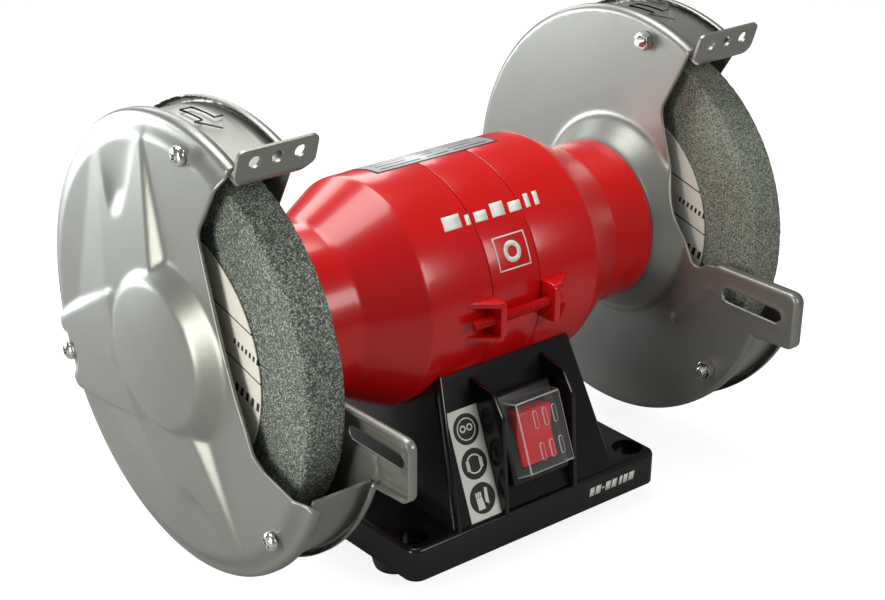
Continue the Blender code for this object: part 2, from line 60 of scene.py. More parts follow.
# Every shape is built in millimetres from the shaft's axis: X along the shaft, -Y the working side, Z up.
mm = 0.001
shaftPoint = Vector(next(joint["pos_m"] for joint in frame["joints"] if joint["name"] == "spindle_spin"))
toFrame = Matrix.Translation(shaftPoint) @ Matrix.Scale(mm, 4)
sides = {"left": -1, "right": 1}
pedestal = {"plinthTop": -80, "plinthHeight": 14.2, "saddleTop": -25, "topHalf": (35, 40),
            "footHalf": (43, 62.5)}
pedestalRise = pedestal["saddleTop"] - pedestal["plinthTop"]
slope = math.atan2(pedestal["footHalf"][1] - pedestal["topHalf"][1], pedestalRise)


def pedestalHalf(z, way):
    # half length (way 0) or half depth (way 1) of the pedestal at a height
    fall = (pedestal["saddleTop"] - z) / pedestalRise
    return pedestal["topHalf"][way] + fall * (pedestal["footHalf"][way] - pedestal["topHalf"][way])


def aroundShaft(radius, degrees):
    # y and z on a circle round the shaft: 0 is the front and 90 the top
    angle = math.radians(degrees)
    return -radius * math.cos(angle), radius * math.sin(angle)


def easeStep(low, high, value):
    share = min(max((value - low) / (high - low), 0), 1)
    return share * share * (3 - 2 * share)


def newGroup(name, inputs, outputs):
    tree = bpy.data.node_groups.new(name, "ShaderNodeTree")
    for label, value in inputs.items():
        tree.interface.new_socket(label, in_out="INPUT", socket_type="NodeSocketFloat").default_value = value
    for label, kind in outputs.items():
        tree.interface.new_socket(label, in_out="OUTPUT", socket_type=kind)
    return tree, tree.nodes.new("NodeGroupInput"), tree.nodes.new("NodeGroupOutput")


def addNode(tree, kind, values=None, **settings):
    node = tree.nodes.new(kind)
    for label, value in settings.items():
        setattr(node, label, value)
    for label, value in (values or {}).items():
        node.inputs[label].default_value = value
    return node


def addMath(tree, operation, first, second=0.0, clamp=False):
    node = addNode(tree, "ShaderNodeMath", operation=operation, use_clamp=clamp)
    for socket, value in zip(node.inputs, (first, second)):
        if isinstance(value, (int, float)):
            socket.default_value = value
        else:
            tree.links.new(value, socket)
    return node.outputs[0]


def paintSkinGroup():
    # the fine waviness and the cloudiness of a sprayed coat
    tree, given, made = newGroup("paintSkin", {"Peel Scale": 900, "Peel": 0.02, "Cloud Scale": 30, "Cloud": 0.1},
                                 {"Height": "NodeSocketFloat", "Cloud": "NodeSocketFloat"})
    coord = addNode(tree, "ShaderNodeTexCoord")
    peel = addNode(tree, "ShaderNodeTexNoise", {"Detail": 2.0, "Roughness": 0.5})
    cloud = addNode(tree, "ShaderNodeTexNoise", {"Detail": 4.0, "Roughness": 0.6})
    for node, label in ((peel, "Peel Scale"), (cloud, "Cloud Scale")):
        tree.links.new(coord.outputs["Object"], node.inputs["Vector"])
        tree.links.new(given.outputs[label], node.inputs["Scale"])
    height = addMath(tree, "MULTIPLY", peel.outputs["Fac"], given.outputs["Peel"])
    centred = addMath(tree, "SUBTRACT", cloud.outputs["Fac"], 0.5)
    spread = addMath(tree, "MULTIPLY", centred, given.outputs["Cloud"])
    tree.links.new(height, made.inputs["Height"])
    tree.links.new(addMath(tree, "ADD", spread, 0.5), made.inputs["Cloud"])
    return tree


def flakeGroup():
    # metal flakes in a silver paint, or the spangle of a plated part
    tree, given, made = newGroup("metalFlake", {"Scale": 2500, "Amount": 0.3}, {"Flake": "NodeSocketFloat"})
    coord = addNode(tree, "ShaderNodeTexCoord")
    cells = addNode(tree, "ShaderNodeTexVoronoi")
    tree.links.new(coord.outputs["Object"], cells.inputs["Vector"])
    tree.links.new(given.outputs["Scale"], cells.inputs["Scale"])
    tone = addNode(tree, "ShaderNodeSeparateColor")
    tree.links.new(cells.outputs["Color"], tone.inputs[0])
    centred = addMath(tree, "SUBTRACT", tone.outputs[0], 0.5)
    spread = addMath(tree, "MULTIPLY", centred, given.outputs["Amount"])
    tree.links.new(addMath(tree, "ADD", spread, 0.5), made.inputs["Flake"])
    return tree


def gritGroup():
    # abrasive grains of mixed shades with open pores between them
    tree, given, made = newGroup("gritGrains", {"Scale": 900, "Pores": 0.4},
                                 {"Shade": "NodeSocketFloat", "Height": "NodeSocketFloat",
                                  "Sparkle": "NodeSocketFloat"})
    coord = addNode(tree, "ShaderNodeTexCoord")
    warp = addNode(tree, "ShaderNodeTexNoise", {"Detail": 2.0})
    grains = addNode(tree, "ShaderNodeTexVoronoi")
    fine = addNode(tree, "ShaderNodeTexNoise", {"Detail": 5.0, "Roughness": 0.75})
    for node in (warp, grains, fine):
        tree.links.new(coord.outputs["Object"], node.inputs["Vector"])
    tree.links.new(given.outputs["Scale"], grains.inputs["Scale"])
    tree.links.new(addMath(tree, "MULTIPLY", given.outputs["Scale"], 0.55), fine.inputs["Scale"])
    tree.links.new(addMath(tree, "MULTIPLY", given.outputs["Scale"], 0.2), warp.inputs["Scale"])
    tone = addNode(tree, "ShaderNodeSeparateColor")
    tree.links.new(grains.outputs["Color"], tone.inputs[0])
    mixed = addMath(tree, "ADD", addMath(tree, "MULTIPLY", tone.outputs[0], 0.55),
                    addMath(tree, "MULTIPLY", fine.outputs["Fac"], 0.45))
    pore = addMath(tree, "MULTIPLY", grains.outputs["Distance"], given.outputs["Pores"])
    tree.links.new(addMath(tree, "SUBTRACT", mixed, pore, clamp=True), made.inputs["Shade"])
    tree.links.new(addMath(tree, "SUBTRACT", mixed, grains.outputs["Distance"]), made.inputs["Height"])
    tree.links.new(addMath(tree, "GREATER_THAN", tone.outputs[1], 0.9), made.inputs["Sparkle"])
    return tree


skinGroup, sparkGroup, grainGroup = paintSkinGroup(), flakeGroup(), gritGroup()


def newMaterial(name, colour, roughness, metallic=0.0, **shaderValues):
    material = bpy.data.materials.new(name)
    material.use_nodes = True
    shader = material.node_tree.nodes["Principled BSDF"]
    shader.inputs["Base Color"].default_value = (*colour, 1)
    shader.inputs["Roughness"].default_value = roughness
    shader.inputs["Metallic"].default_value = metallic
    for label, value in shaderValues.items():
        shader.inputs[label.replace("_", " ")].default_value = value
    return material, material.node_tree, shader


def placeGroup(tree, group, **values):
    node = addNode(tree, "ShaderNodeGroup", node_tree=group)
    for label, value in values.items():
        node.inputs[label.replace("_", " ")].default_value = value
    return node


def linkBump(tree, shader, height, strength, distance):
    bump = addNode(tree, "ShaderNodeBump", {"Strength": strength, "Distance": distance})
    tree.links.new(height, bump.inputs["Height"])
    tree.links.new(bump.outputs["Normal"], shader.inputs["Normal"])


def linkRamp(tree, factor, socket, stops):
    ramp = addNode(tree, "ShaderNodeValToRGB")
    elements = ramp.color_ramp.elements
    while len(elements) < len(stops):
        elements.new(0.5)
    for element, (position, colour) in zip(elements, stops):
        element.position = position
        element.color = (*colour, 1)
    tree.links.new(factor, ramp.inputs["Fac"])
    tree.links.new(ramp.outputs["Color"], socket)


def shadeOf(value):
    return (value, value, value)


def coatedFinish(name, low, high, roughness, metallic=0.0, peel=0.02, peelScale=900, cloudScale=30, bump=0.05,
                 roughSpread=0.05, **shaderValues):
    # a coat whose colour drifts from low to high and whose gloss varies a little
    material, tree, shader = newMaterial(name, low, roughness, metallic, **shaderValues)
    skin = placeGroup(tree, skinGroup, Peel_Scale=peelScale, Peel=peel, Cloud_Scale=cloudScale, Cloud=1.0)
    linkRamp(tree, skin.outputs["Cloud"], shader.inputs["Base Color"], [(0.25, low), (0.75, high)])
    linkRamp(tree, skin.outputs["Cloud"], shader.inputs["Roughness"],
             [(0.2, shadeOf(roughness - roughSpread)), (0.8, shadeOf(roughness + roughSpread))])
    linkBump(tree, shader, skin.outputs["Height"], bump, 0.001)
    return material


def silverPaint():
    material, tree, shader = newMaterial("silverPaint", (0.42, 0.42, 0.39), 0.36, 0.62)
    skin = placeGroup(tree, skinGroup, Peel_Scale=700, Peel=0.05, Cloud_Scale=22, Cloud=0.8)
    flake = placeGroup(tree, sparkGroup, Scale=3200, Amount=0.9)
    tone = addMath(tree, "ADD", addMath(tree, "MULTIPLY", flake.outputs["Flake"], 0.35),
                   addMath(tree, "MULTIPLY", skin.outputs["Cloud"], 0.65))
    linkRamp(tree, tone, shader.inputs["Base Color"],
             [(0.3, (0.27, 0.275, 0.25)), (0.7, (0.31, 0.315, 0.285))])
    linkRamp(tree, tone, shader.inputs["Roughness"], [(0.2, shadeOf(0.34)), (0.8, shadeOf(0.38))])
    linkBump(tree, shader, skin.outputs["Height"], 0.05, 0.001)
    return material


def gritStone(name, scale, dark, middle, light, bump):
    material, tree, shader = newMaterial(name, middle, 0.85)
    grains = placeGroup(tree, grainGroup, Scale=scale, Pores=0.35)
    linkRamp(tree, grains.outputs["Shade"], shader.inputs["Base Color"],
             [(0.12, dark), (0.42, middle), (0.75, light)])
    linkRamp(tree, grains.outputs["Sparkle"], shader.inputs["Roughness"],
             [(0.4, shadeOf(0.88)), (0.6, shadeOf(0.35))])
    linkBump(tree, shader, grains.outputs["Height"], bump, 0.0006)
    return material


# heights of the ruled lines and, in metres with dashes per metre and half heights, of the dashed rows
paperPrint = {"tilt": -14, "lines": (-0.030, -0.014, 0.014, 0.030), "lineHalf": 0.0003, "dashShare": 0.52,
              "dashFrom": 0.026, "dashes": ((0.0215, 420, 0.0011), (-0.0215, 420, 0.0011), (0.004, 300, 0.0018),
                                            (-0.0355, 420, 0.0009))}


def blotterPaper():
    # cream paper ruled with thin chords, and short dashes where a maker prints
    material, tree, shader = newMaterial("blotterPaper", (0.8, 0.78, 0.68), 0.7)
    coord = addNode(tree, "ShaderNodeTexCoord")
    centre = addNode(tree, "ShaderNodeMapping")
    centre.inputs["Location"].default_value = -shaftPoint
    tree.links.new(coord.outputs["Object"], centre.inputs["Vector"])
    turned = addNode(tree, "ShaderNodeMapping")
    turned.inputs["Rotation"].default_value = (math.radians(paperPrint["tilt"]), 0, 0)
    tree.links.new(centre.outputs["Vector"], turned.inputs["Vector"])
    axes = addNode(tree, "ShaderNodeSeparateXYZ")
    tree.links.new(turned.outputs["Vector"], axes.inputs[0])

    def rowAt(height, half):
        away = addMath(tree, "ABSOLUTE", addMath(tree, "SUBTRACT", axes.outputs["Z"], height))
        return addMath(tree, "LESS_THAN", away, half)

    ink = 0.0
    for height in paperPrint["lines"]:
        ink = addMath(tree, "MAXIMUM", rowAt(height, paperPrint["lineHalf"]), ink)
    far = addMath(tree, "GREATER_THAN", addMath(tree, "ABSOLUTE", axes.outputs["Y"]), paperPrint["dashFrom"])
    for height, pitch, half in paperPrint["dashes"]:
        part = addMath(tree, "FRACT", addMath(tree, "MULTIPLY", axes.outputs["Y"], pitch))
        beat = addMath(tree, "LESS_THAN", part, paperPrint["dashShare"])
        dash = addMath(tree, "MULTIPLY", addMath(tree, "MULTIPLY", rowAt(height, half), beat), far)
        ink = addMath(tree, "MAXIMUM", dash, ink)
    skin = placeGroup(tree, skinGroup, Peel_Scale=1500, Peel=0.2, Cloud_Scale=40, Cloud=0.5)
    paper = addNode(tree, "ShaderNodeMix", data_type="RGBA")
    paper.inputs["A"].default_value = (0.74, 0.72, 0.62, 1)
    paper.inputs["B"].default_value = (0.84, 0.82, 0.74, 1)
    tree.links.new(skin.outputs["Cloud"], paper.inputs["Factor"])
    printed = addNode(tree, "ShaderNodeMix", data_type="RGBA")
    printed.inputs["B"].default_value = (0.03, 0.03, 0.03, 1)
    tree.links.new(ink, printed.inputs["Factor"])
    tree.links.new(paper.outputs["Result"], printed.inputs["A"])
    tree.links.new(printed.outputs["Result"], shader.inputs["Base Color"])
    linkBump(tree, shader, skin.outputs["Height"], 0.15, 0.0003)
    return material


def platedFinish(name, low, high, roughness, flakeScale=600):
    material, tree, shader = newMaterial(name, low, roughness, 1.0)
    flake = placeGroup(tree, sparkGroup, Scale=flakeScale, Amount=1.0)
    linkRamp(tree, flake.outputs["Flake"], shader.inputs["Base Color"], [(0.1, low), (0.9, high)])
    linkRamp(tree, flake.outputs["Flake"], shader.inputs["Roughness"],
             [(0.1, shadeOf(roughness - 0.05)), (0.9, shadeOf(roughness + 0.07))])
    return material


def clearPlastic(name, alpha, roughness):
    material, tree, shader = newMaterial(name, (0.93, 0.94, 0.93), roughness, Alpha=alpha)
    skin = placeGroup(tree, skinGroup, Peel_Scale=250, Peel=0.3, Cloud_Scale=60, Cloud=0.6)
    linkBump(tree, shader, skin.outputs["Height"], 0.08, 0.001)
    return material


finishes = {
    "red_paint": coatedFinish("redEnamel", (0.6, 0.003, 0.004), (0.67, 0.005, 0.005), 0.24, peel=0.3,
                              peelScale=260, cloudScale=14, bump=0.06, roughSpread=0.03, Coat_Weight=0.2,
                              Coat_Roughness=0.06),
    "guard_paint": silverPaint(),
    "abrasive": gritStone("coarseGrit", 1900, (0.05, 0.07, 0.06), (0.25, 0.28, 0.235),
                          (0.74, 0.77, 0.66), 0.8),
    "fine_abrasive": gritStone("fineGrit", 2300, (0.09, 0.11, 0.09), (0.27, 0.3, 0.24),
                               (0.66, 0.68, 0.56), 0.7),
    "blotter_paper": blotterPaper(),
    "black_body": coatedFinish("blackCasting", (0.004, 0.0045, 0.0045), (0.007, 0.0075, 0.0075), 0.22, peel=0.5,
                               peelScale=420, cloudScale=18),
    "black_plastic": coatedFinish("blackPlastic", (0.008, 0.009, 0.0085), (0.012, 0.013, 0.0125), 0.38, peel=0.5,
                                  peelScale=1800, bump=0.06),
    "zinc": platedFinish("brightZinc", (0.62, 0.62, 0.6), (0.8, 0.8, 0.78), 0.22),
    "steel": platedFinish("turnedSteel", (0.4, 0.4, 0.4), (0.5, 0.5, 0.5), 0.32),
    "copper": platedFinish("enamelledWire", (0.5, 0.18, 0.06), (0.66, 0.28, 0.1), 0.35, 900),
    "rubber": coatedFinish("mattRubber", (0.012, 0.012, 0.012), (0.02, 0.02, 0.02), 0.75, peel=0.6,
                           peelScale=1500, bump=0.2),
    "rocker_red": coatedFinish("rockerRed", (0.72, 0.004, 0.012), (0.8, 0.008, 0.018), 0.2, peel=0.2, bump=0.04),
    "clear_boot": clearPlastic("clearBoot", 0.035, 0.08),
    # a more opaque white for the clear boot's rounded edges: a painted highlight for the bright lines that
    # reflections draw along them
    "clear_edge_highlight": clearPlastic("clearEdgeHighlight", 0.55, 0.2),
    "capacitor_can": coatedFinish("capacitorCan", (0.55, 0.56, 0.56), (0.66, 0.67, 0.67), 0.4, 0.3),
    "pale_print": coatedFinish("palePrint", (0.78, 0.77, 0.72), (0.86, 0.85, 0.8), 0.5, peel=0.4, peelScale=1200),
    "black_print": coatedFinish("blackPrint", (0.012, 0.012, 0.012), (0.022, 0.022, 0.022), 0.45),
    "grey_print": coatedFinish("greyPrint", (0.45, 0.46, 0.46), (0.55, 0.56, 0.56), 0.35),
}
print("materials made:", len(bpy.data.materials))


def turnedShape(profile, steps=96, closed=True, axisSpin=(1, 0, 0)):
    # profile points are (x, radius, rounding); the wire is rounded at its corners and spun about the shaft
    shape = bmesh.new()
    points = [shape.verts.new((x, 0, radius)) for x, radius, rounding in profile]
    for start, end in zip(points, points[1:]):
        shape.edges.new((start, end))
    if closed:
        shape.edges.new((points[-1], points[0]))
    roundCorners(shape, points, [rounding for x, radius, rounding in profile])
    bmesh.ops.spin(shape, geom=shape.verts[:] + shape.edges[:], cent=(0, 0, 0), axis=axisSpin, steps=steps,
                   angle=2 * math.pi, use_merge=True)
    bmesh.ops.remove_doubles(shape, verts=shape.verts, dist=0.0005)
    bmesh.ops.recalc_face_normals(shape, faces=shape.faces)
    return shape


def roundCorners(shape, points, roundings, segments=4):
    for rounding in sorted(set(roundings) - {0}):
        corners = [point for point, amount in zip(points, roundings) if amount == rounding]
        bmesh.ops.bevel(shape, geom=corners, offset=rounding, segments=segments, profile=0.5,
                        affect="VERTICES", material=-1, clamp_overlap=True)


def flatShape(outline, segments=4):
    # a face in the YZ plane from (y, z, rounding) corners
    shape = bmesh.new()
    corners = [shape.verts.new((0, y, z)) for y, z, rounding in outline]
    shape.faces.new(corners)
    roundCorners(shape, corners, [rounding for y, z, rounding in outline], segments)
    return shape


def thickened(shape, stepAt):
    # makes a drawing solid: stepAt gives the way and the distance that each point's copy is pushed
    for item in bmesh.ops.extrude_face_region(shape, geom=shape.faces[:])["geom"]:
        if isinstance(item, bmesh.types.BMVert):
            item.co += stepAt(item.co)
    bmesh.ops.recalc_face_normals(shape, faces=shape.faces)
    return shape


def slabShape(outline, low, high, edgeRounding=0.0, segments=3):
    # the same face given a thickness along X, its edges rounded
    shape = flatShape(outline)
    bmesh.ops.translate(shape, vec=(low, 0, 0), verts=shape.verts)
    thickened(shape, lambda place: Vector((high - low, 0, 0)))
    if edgeRounding:
        roundEdges(shape, edgeRounding, segments)
    return shape


def roundEdges(shape, width, segments=3, steeper=30, chosen=None):
    sharp = [edge for edge in shape.edges if len(edge.link_faces) == 2
             and edge.calc_face_angle(0) > math.radians(steeper) and (chosen is None or chosen(edge))]
    bmesh.ops.bevel(shape, geom=sharp, offset=width, segments=segments, profile=0.5, affect="EDGES",
                    material=-1, clamp_overlap=True)
    return shape


def highlightedEdges(shape, width, chosen):
    # rounds the chosen edges and gives the new faces the piece's second finish; on the clear boot that finish is a
    # more opaque white, a painted highlight along the edges
    picked = [edge for edge in shape.edges if edge.calc_face_angle(0) > 0.3 and chosen(edge)]
    rounded = bmesh.ops.bevel(shape, geom=picked, offset=width, segments=2, profile=0.5, affect="EDGES",
                              material=-1, clamp_overlap=True)
    for face in rounded["faces"]:
        face.material_index = 1
    return shape


def boxShape(size, centre, matrix=None, edgeRounding=0.0, segments=3, topHalf=None):
    shape = bmesh.new()
    bmesh.ops.create_cube(shape, size=1)
    bmesh.ops.scale(shape, vec=size, verts=shape.verts)
    if topHalf:
        for corner in shape.verts:
            if corner.co.z > 0:
                corner.co.x = math.copysign(topHalf[0], corner.co.x)
                corner.co.y = math.copysign(topHalf[1], corner.co.y)
    bmesh.ops.translate(shape, vec=centre, verts=shape.verts)
    if edgeRounding:
        roundEdges(shape, edgeRounding, segments, steeper=20)
    return moved(shape, matrix)


def rodShape(radius, low, high, matrix=None, steps=32):
    # a plain cylinder along Z
    shape = bmesh.new()
    bmesh.ops.create_cone(shape, cap_ends=True, segments=steps, radius1=radius, radius2=radius,
                          depth=high - low, matrix=Matrix.Translation((0, 0, (low + high) / 2)))
    return moved(shape, matrix)


def moved(shape, matrix):
    if matrix is not None:
        bmesh.ops.transform(shape, matrix=matrix, verts=shape.verts)
        if matrix.determinant() < 0:
            bmesh.ops.reverse_faces(shape, faces=shape.faces)
    return shape


def joined(*shapes):
    # several closed shapes as one mesh
    whole = bmesh.new()
    for shape in shapes:
        mesh = bpy.data.meshes.new("joining")
        shape.to_mesh(mesh)
        shape.free()
        whole.from_mesh(mesh)
        bpy.data.meshes.remove(mesh)
    return whole


def carved(shape, operation, *tools):
    # boolean steps on throw-away objects
    made = []
    for number, part in enumerate((shape, *tools)):
        mesh = bpy.data.meshes.new(f"carving{number}")
        part.to_mesh(mesh)
        part.free()
        holder = bpy.data.objects.new(f"carving{number}", mesh)
        bpy.context.scene.collection.objects.link(holder)
        made.append(holder)
    for tool in made[1:]:
        step = made[0].modifiers.new("step", "BOOLEAN")
        step.operation = operation
        step.solver = "EXACT"
        step.object = tool
    graph = bpy.context.evaluated_depsgraph_get()
    result = bpy.data.meshes.new_from_object(made[0].evaluated_get(graph))
    whole = bmesh.new()
    whole.from_mesh(result)
    bpy.data.meshes.remove(result)
    for holder in made:
        bpy.data.meshes.remove(holder.data)
    return whole


def slicedSheet(shape, spacing, low, high):
    # cuts a flat face into small cells so that it can be pressed into shape
    for axis, start, end in ((Vector((0, 1, 0)), low[0], high[0]), (Vector((0, 0, 1)), low[1], high[1])):
        for step in range(int((end - start) / spacing) + 1):
            bmesh.ops.bisect_plane(shape, geom=shape.verts[:] + shape.edges[:] + shape.faces[:], dist=0.06,
                                   plane_co=axis * (start + step * spacing), plane_no=axis)
    bmesh.ops.remove_doubles(shape, verts=shape.verts, dist=0.12)
    return shape


def rimOutwards(shape, rim):
    # which way is out of the sheet at each point of its rim
    summed = {}
    for edge in rim:
        first, second = edge.verts
        run = (second.co - first.co).normalized()
        out = run.cross(Vector((1, 0, 0)))
        if out.dot(edge.link_faces[0].calc_center_median() - first.co) > 0:
            out.negate()
        for point in edge.verts:
            summed.setdefault(point, []).append(out)
    outward = {}
    for point, found in summed.items():
        mean = sum(found, Vector()).normalized()
        outward[point] = mean * min(1 / max(0.6, abs(mean.dot(found[0]))), 1.5)
    return outward


def rolledRim(shape, foldAt, depthWay, arcRadius, slack=0.14):
    # folds the rim of a flat sheet: foldAt gives (out, down) steps for a point, depthWay is -1 or 1 along X
    rim = [edge for edge in shape.edges if edge.is_boundary]
    outward = rimOutwards(shape, rim)
    for point in outward:
        radius = math.hypot(point.co.y, point.co.z)
        if radius > arcRadius - slack and point.co.y > -84:
            outward[point] = point.co.normalized()
            point.co *= arcRadius / radius
    start = {point: point.co.copy() for point in outward}
    folds = {point: foldAt(point.co.y, point.co.z) for point in outward}
    ring = set(outward)
    for step in range(len(next(iter(folds.values())))):
        grown = bmesh.ops.extrude_edge_only(shape, edges=rim)["geom"]
        rim = [item for item in grown if isinstance(item, bmesh.types.BMEdge)]
        points = [item for item in grown if isinstance(item, bmesh.types.BMVert)]
        for point in points:
            before = next(found for found in (edge.other_vert(point) for edge in point.link_edges)
                          if found in ring)
            out, down = folds[before][step]
            outward[point], start[point], folds[point] = outward[before], start[before], folds[before]
            point.co = start[before] + outward[before] * out
            point.co.x += depthWay * down
        ring = set(points)
    return shape


def foldSteps(radius, depth, angles=(22.5, 45, 67.5, 90)):
    turns = [math.radians(angle) for angle in angles]
    steps = [(radius * math.sin(turn), radius * (1 - math.cos(turn))) for turn in turns]
    return steps + [(radius, max(depth, radius * 1.01))]


def arcPoints(radius, start, end, steps):
    return [(*aroundShaft(radius, start + (end - start) * step / steps), 0) for step in range(steps + 1)]


def makePiece(name, shape, finish, nodes=(), body=None, side=1, crease=32, extra=()):
    # side -1 mirrors a shape made for the right; the piece takes the body of the node it stands for
    if side < 0:
        moved(shape, Matrix.Scale(-1, 4, (1, 0, 0)))
    bmesh.ops.transform(shape, matrix=toFrame, verts=shape.verts)
    mesh = bpy.data.meshes.new(name)
    shape.to_mesh(mesh)
    shape.free()
    mesh.shade_smooth()
    mesh.set_sharp_from_angle(angle=math.radians(crease))
    for label in (finish, *extra):
        mesh.materials.append(finishes[label])
    piece = bpy.data.objects.new(name, mesh)
    bpy.context.scene.collection.objects.link(piece)
    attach(piece, body or frame["nodes"][nodes[0]]["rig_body"])
    if nodes:
        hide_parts(*nodes)
    return piece


def addWall(piece, thickness, offset=-1):
    wall = piece.modifiers.new("wall", "SOLIDIFY")
    wall.thickness = thickness * mm
    wall.offset = offset
    wall.use_even_offset = True
    wall.thickness_clamp = 1.5
    return piece


baseSizes = {"length": 132.4, "depth": 130, "cornerRadius": 5.5, "topRadius": 1.8, "cheekAt": (17.4, 19.4),
             "cheek": [(-38, -28, 0), (-55, -30.5, 1.5), (-61.5, -39.5, 2), (-65, -78, 1.5), (-65, -81, 0),
                       (-50, -81, 0)],
             "boltAt": (58, 54.5), "boltHole": 3.2, "boltRecess": 6.5, "footAt": (56, 40), "saddle": 47.1,
             "rib": (1.5, 3.4, 62), "ribTop": (-34.0, -40.2, -25), "ribFoot": (-42.2, -62.7, -80)}


def edgeRise(edge, axis=2):
    return abs(edge.verts[0].co[axis] - edge.verts[1].co[axis])


def makeBase():
    top, height = pedestal["plinthTop"], pedestal["plinthHeight"]
    plinth = boxShape((baseSizes["length"], baseSizes["depth"], height), (0, 0, top - height / 2))
    roundEdges(plinth, baseSizes["cornerRadius"], 8, chosen=lambda edge: edgeRise(edge) > 1)
    roundEdges(plinth, baseSizes["topRadius"], 4, steeper=60,
               chosen=lambda edge: min(corner.co.z for corner in edge.verts) > top - 1)
    overlap = 3  # how far the pedestal runs down into the plinth
    foot = [pedestalHalf(top - overlap, way) for way in (0, 1)]
    body = boxShape((2 * foot[0], 2 * foot[1], pedestalRise + overlap),
                    (0, 0, top + (pedestalRise - overlap) / 2), topHalf=pedestal["topHalf"])
    roundEdges(body, 2.2, 5, steeper=20, chosen=lambda edge: edgeRise(edge) > 10)
    fins = []
    for side in sides.values():
        low, high = sorted((side * baseSizes["cheekAt"][0], side * baseSizes["cheekAt"][1]))
        fins.append(slabShape(baseSizes["cheek"], low, high, 0.45, 2))
    rib = boxShape(baseSizes["rib"], (0, 0, 0), edgeRounding=0.5, segments=2)
    ribTop, ribFoot = Vector(baseSizes["ribTop"]), Vector(baseSizes["ribFoot"])
    run = (ribTop - ribFoot).normalized()
    across = Vector((1, 0, 0)) - run * run.x
    across.normalize()
    turn = Matrix((across, run.cross(across), run)).transposed().to_4x4()
    moved(rib, Matrix.Translation((ribTop + ribFoot) / 2) @ turn)
    solid = carved(plinth, "UNION", body, *fins, rib)
    saddle = rodShape(baseSizes["saddle"], -70, 70, Matrix.Rotation(math.pi / 2, 4, "Y"), 160)
    hollow = boxShape((79, 118, 43.7), (0, 0, -72.85), topHalf=(35.5, 46))
    recess = boxShape((104, 116, 3.6), (0, 0, top - height))
    switchHole = boxShape((22.2, 30, 28.2), (0, 9, 0), switchFrame)
    holes = []
    for side in sides.values():
        for way in (-1, 1):
            corner = Matrix.Translation((side * baseSizes["boltAt"][0], way * baseSizes["boltAt"][1], 0))
            holes.append(rodShape(baseSizes["boltHole"], top - height - 1, top + 1, corner))
            holes.append(rodShape(baseSizes["boltRecess"], top - 5, top + 1, corner, 48))
    glandHole = rodShape(6.0, -8, 8, glandFrame)
    base = carved(solid, "DIFFERENCE", saddle, hollow, recess, switchHole, glandHole, *holes)
    makePiece("grinder_base", base, "black_body", ["base_housing"], crease=28)


def makeFeet():
    for name, side in sides.items():
        for end, way in (("front", -1), ("rear", 1)):
            foot = turnedShape([(0, 0, 0), (0, 9, 0.3), (-3.2, 9, 1.2), (-6.7, 7.7, 0.8), (-6.7, 3.2, 0.3),
                                (-4.5, 2.8, 0.3), (-4.5, 0, 0)], 64, closed=False)
            place = Matrix.Translation((side * baseSizes["footAt"][0], way * baseSizes["footAt"][1],
                                        pedestal["plinthTop"] - pedestal["plinthHeight"] - 0.3))
            moved(foot, place @ Matrix.Rotation(-math.pi / 2, 4, "Y"))
            makePiece(f"rubber_foot_{end}_{name}", foot, "rubber", [f"foot_{end}_{name}"])


switchSizes = {"bezel": (29, 6.1, 37), "can": (21.5, 22, 27.5), "pocket": (19.2, 16, 26), "canAt": 9,
               "face": -9.5, "keyHalf": 11.2, "keyWidth": 18.2}
bootSizes = {"shell": (25.5, 7.8, 31.5), "inside": (24.1, 8.2, 30.1), "taper": (0.9, 0.92),
             "ridge": (2.3, 1.6, 7.4), "ridgeRows": (6.2, -6.8), "ridgeFrom": 1.2, "ridgeStep": 5.0}
switchZ = -54.5
switchFrame = Matrix.Translation((0, -pedestalHalf(switchZ, 1), switchZ)) @ Matrix.Rotation(-slope, 4, "X")
rockerTilt = math.radians(8)
glandZ = -66
glandFrame = Matrix.Translation((0, pedestalHalf(glandZ, 1), glandZ)) @ Matrix.Rotation(slope - math.pi / 2, 4, "X")


def makeSwitch():
    bezel = boxShape(switchSizes["bezel"], (0, -3.35, 0), switchFrame, 0.9, 3)
    can = boxShape(switchSizes["can"], (0, switchSizes["canAt"], 0), switchFrame)
    pocket = boxShape(switchSizes["pocket"], (0, -1, 0), switchFrame)
    body = carved(carved(bezel, "UNION", can), "DIFFERENCE", pocket)
    makePiece("switch_bezel", body, "black_plastic", ["switch_body"])
    face, half, wide = switchSizes["face"], switchSizes["keyHalf"], switchSizes["keyWidth"] / 2
    outline = [(face, half, 1.2), (face + 2.2, 0, 4), (face, -half, 1.2), (-1, -half, 1), (4.5, -4, 0.5),
               (4.5, 4, 0.5), (-1, half, 1)]
    rocker = slabShape(outline, -wide, wide, 0.6, 3)
    makePiece("rocker_key", moved(rocker, switchFrame @ Matrix.Rotation(rockerTilt, 4, "X")), "rocker_red",
              ["switch_rocker"])
    makeBoot()


def tapered(shape, beyond):
    # draws in the corners that stand furthest out
    for corner in shape.verts:
        if corner.co.y < beyond:
            corner.co.x *= bootSizes["taper"][0]
            corner.co.z *= bootSizes["taper"][1]
    return shape


def makeBoot():
    shell = tapered(boxShape(bootSizes["shell"], (0, -10.6, 0)), -14)
    # the front edges of the shell and of the ridges take the painted highlight finish
    highlightedEdges(shell, 0.5, lambda edge: min(corner.co.y for corner in edge.verts) < -14)
    inside = tapered(boxShape(bootSizes["inside"], (0, -9.9, 0)), -13)
    ridges = []
    for z in bootSizes["ridgeRows"]:
        for column in (-1, 0, 1):
            x = bootSizes["ridgeFrom"] + column * bootSizes["ridgeStep"]
            ridge = boxShape(bootSizes["ridge"], (x, -14.6, z))
            roundEdges(ridge, 1.0, 4, chosen=lambda edge: edgeRise(edge, 1) > 1)
            ridges.append(highlightedEdges(ridge, 0.35,
                                      lambda edge: max(corner.co.y for corner in edge.verts) < -15))
    boot = carved(carved(shell, "UNION", *ridges), "DIFFERENCE", inside)
    makePiece("clear_switch_boot", moved(boot, switchFrame), "clear_boot", ["switch_cover"], crease=25,
              extra=["clear_edge_highlight"])


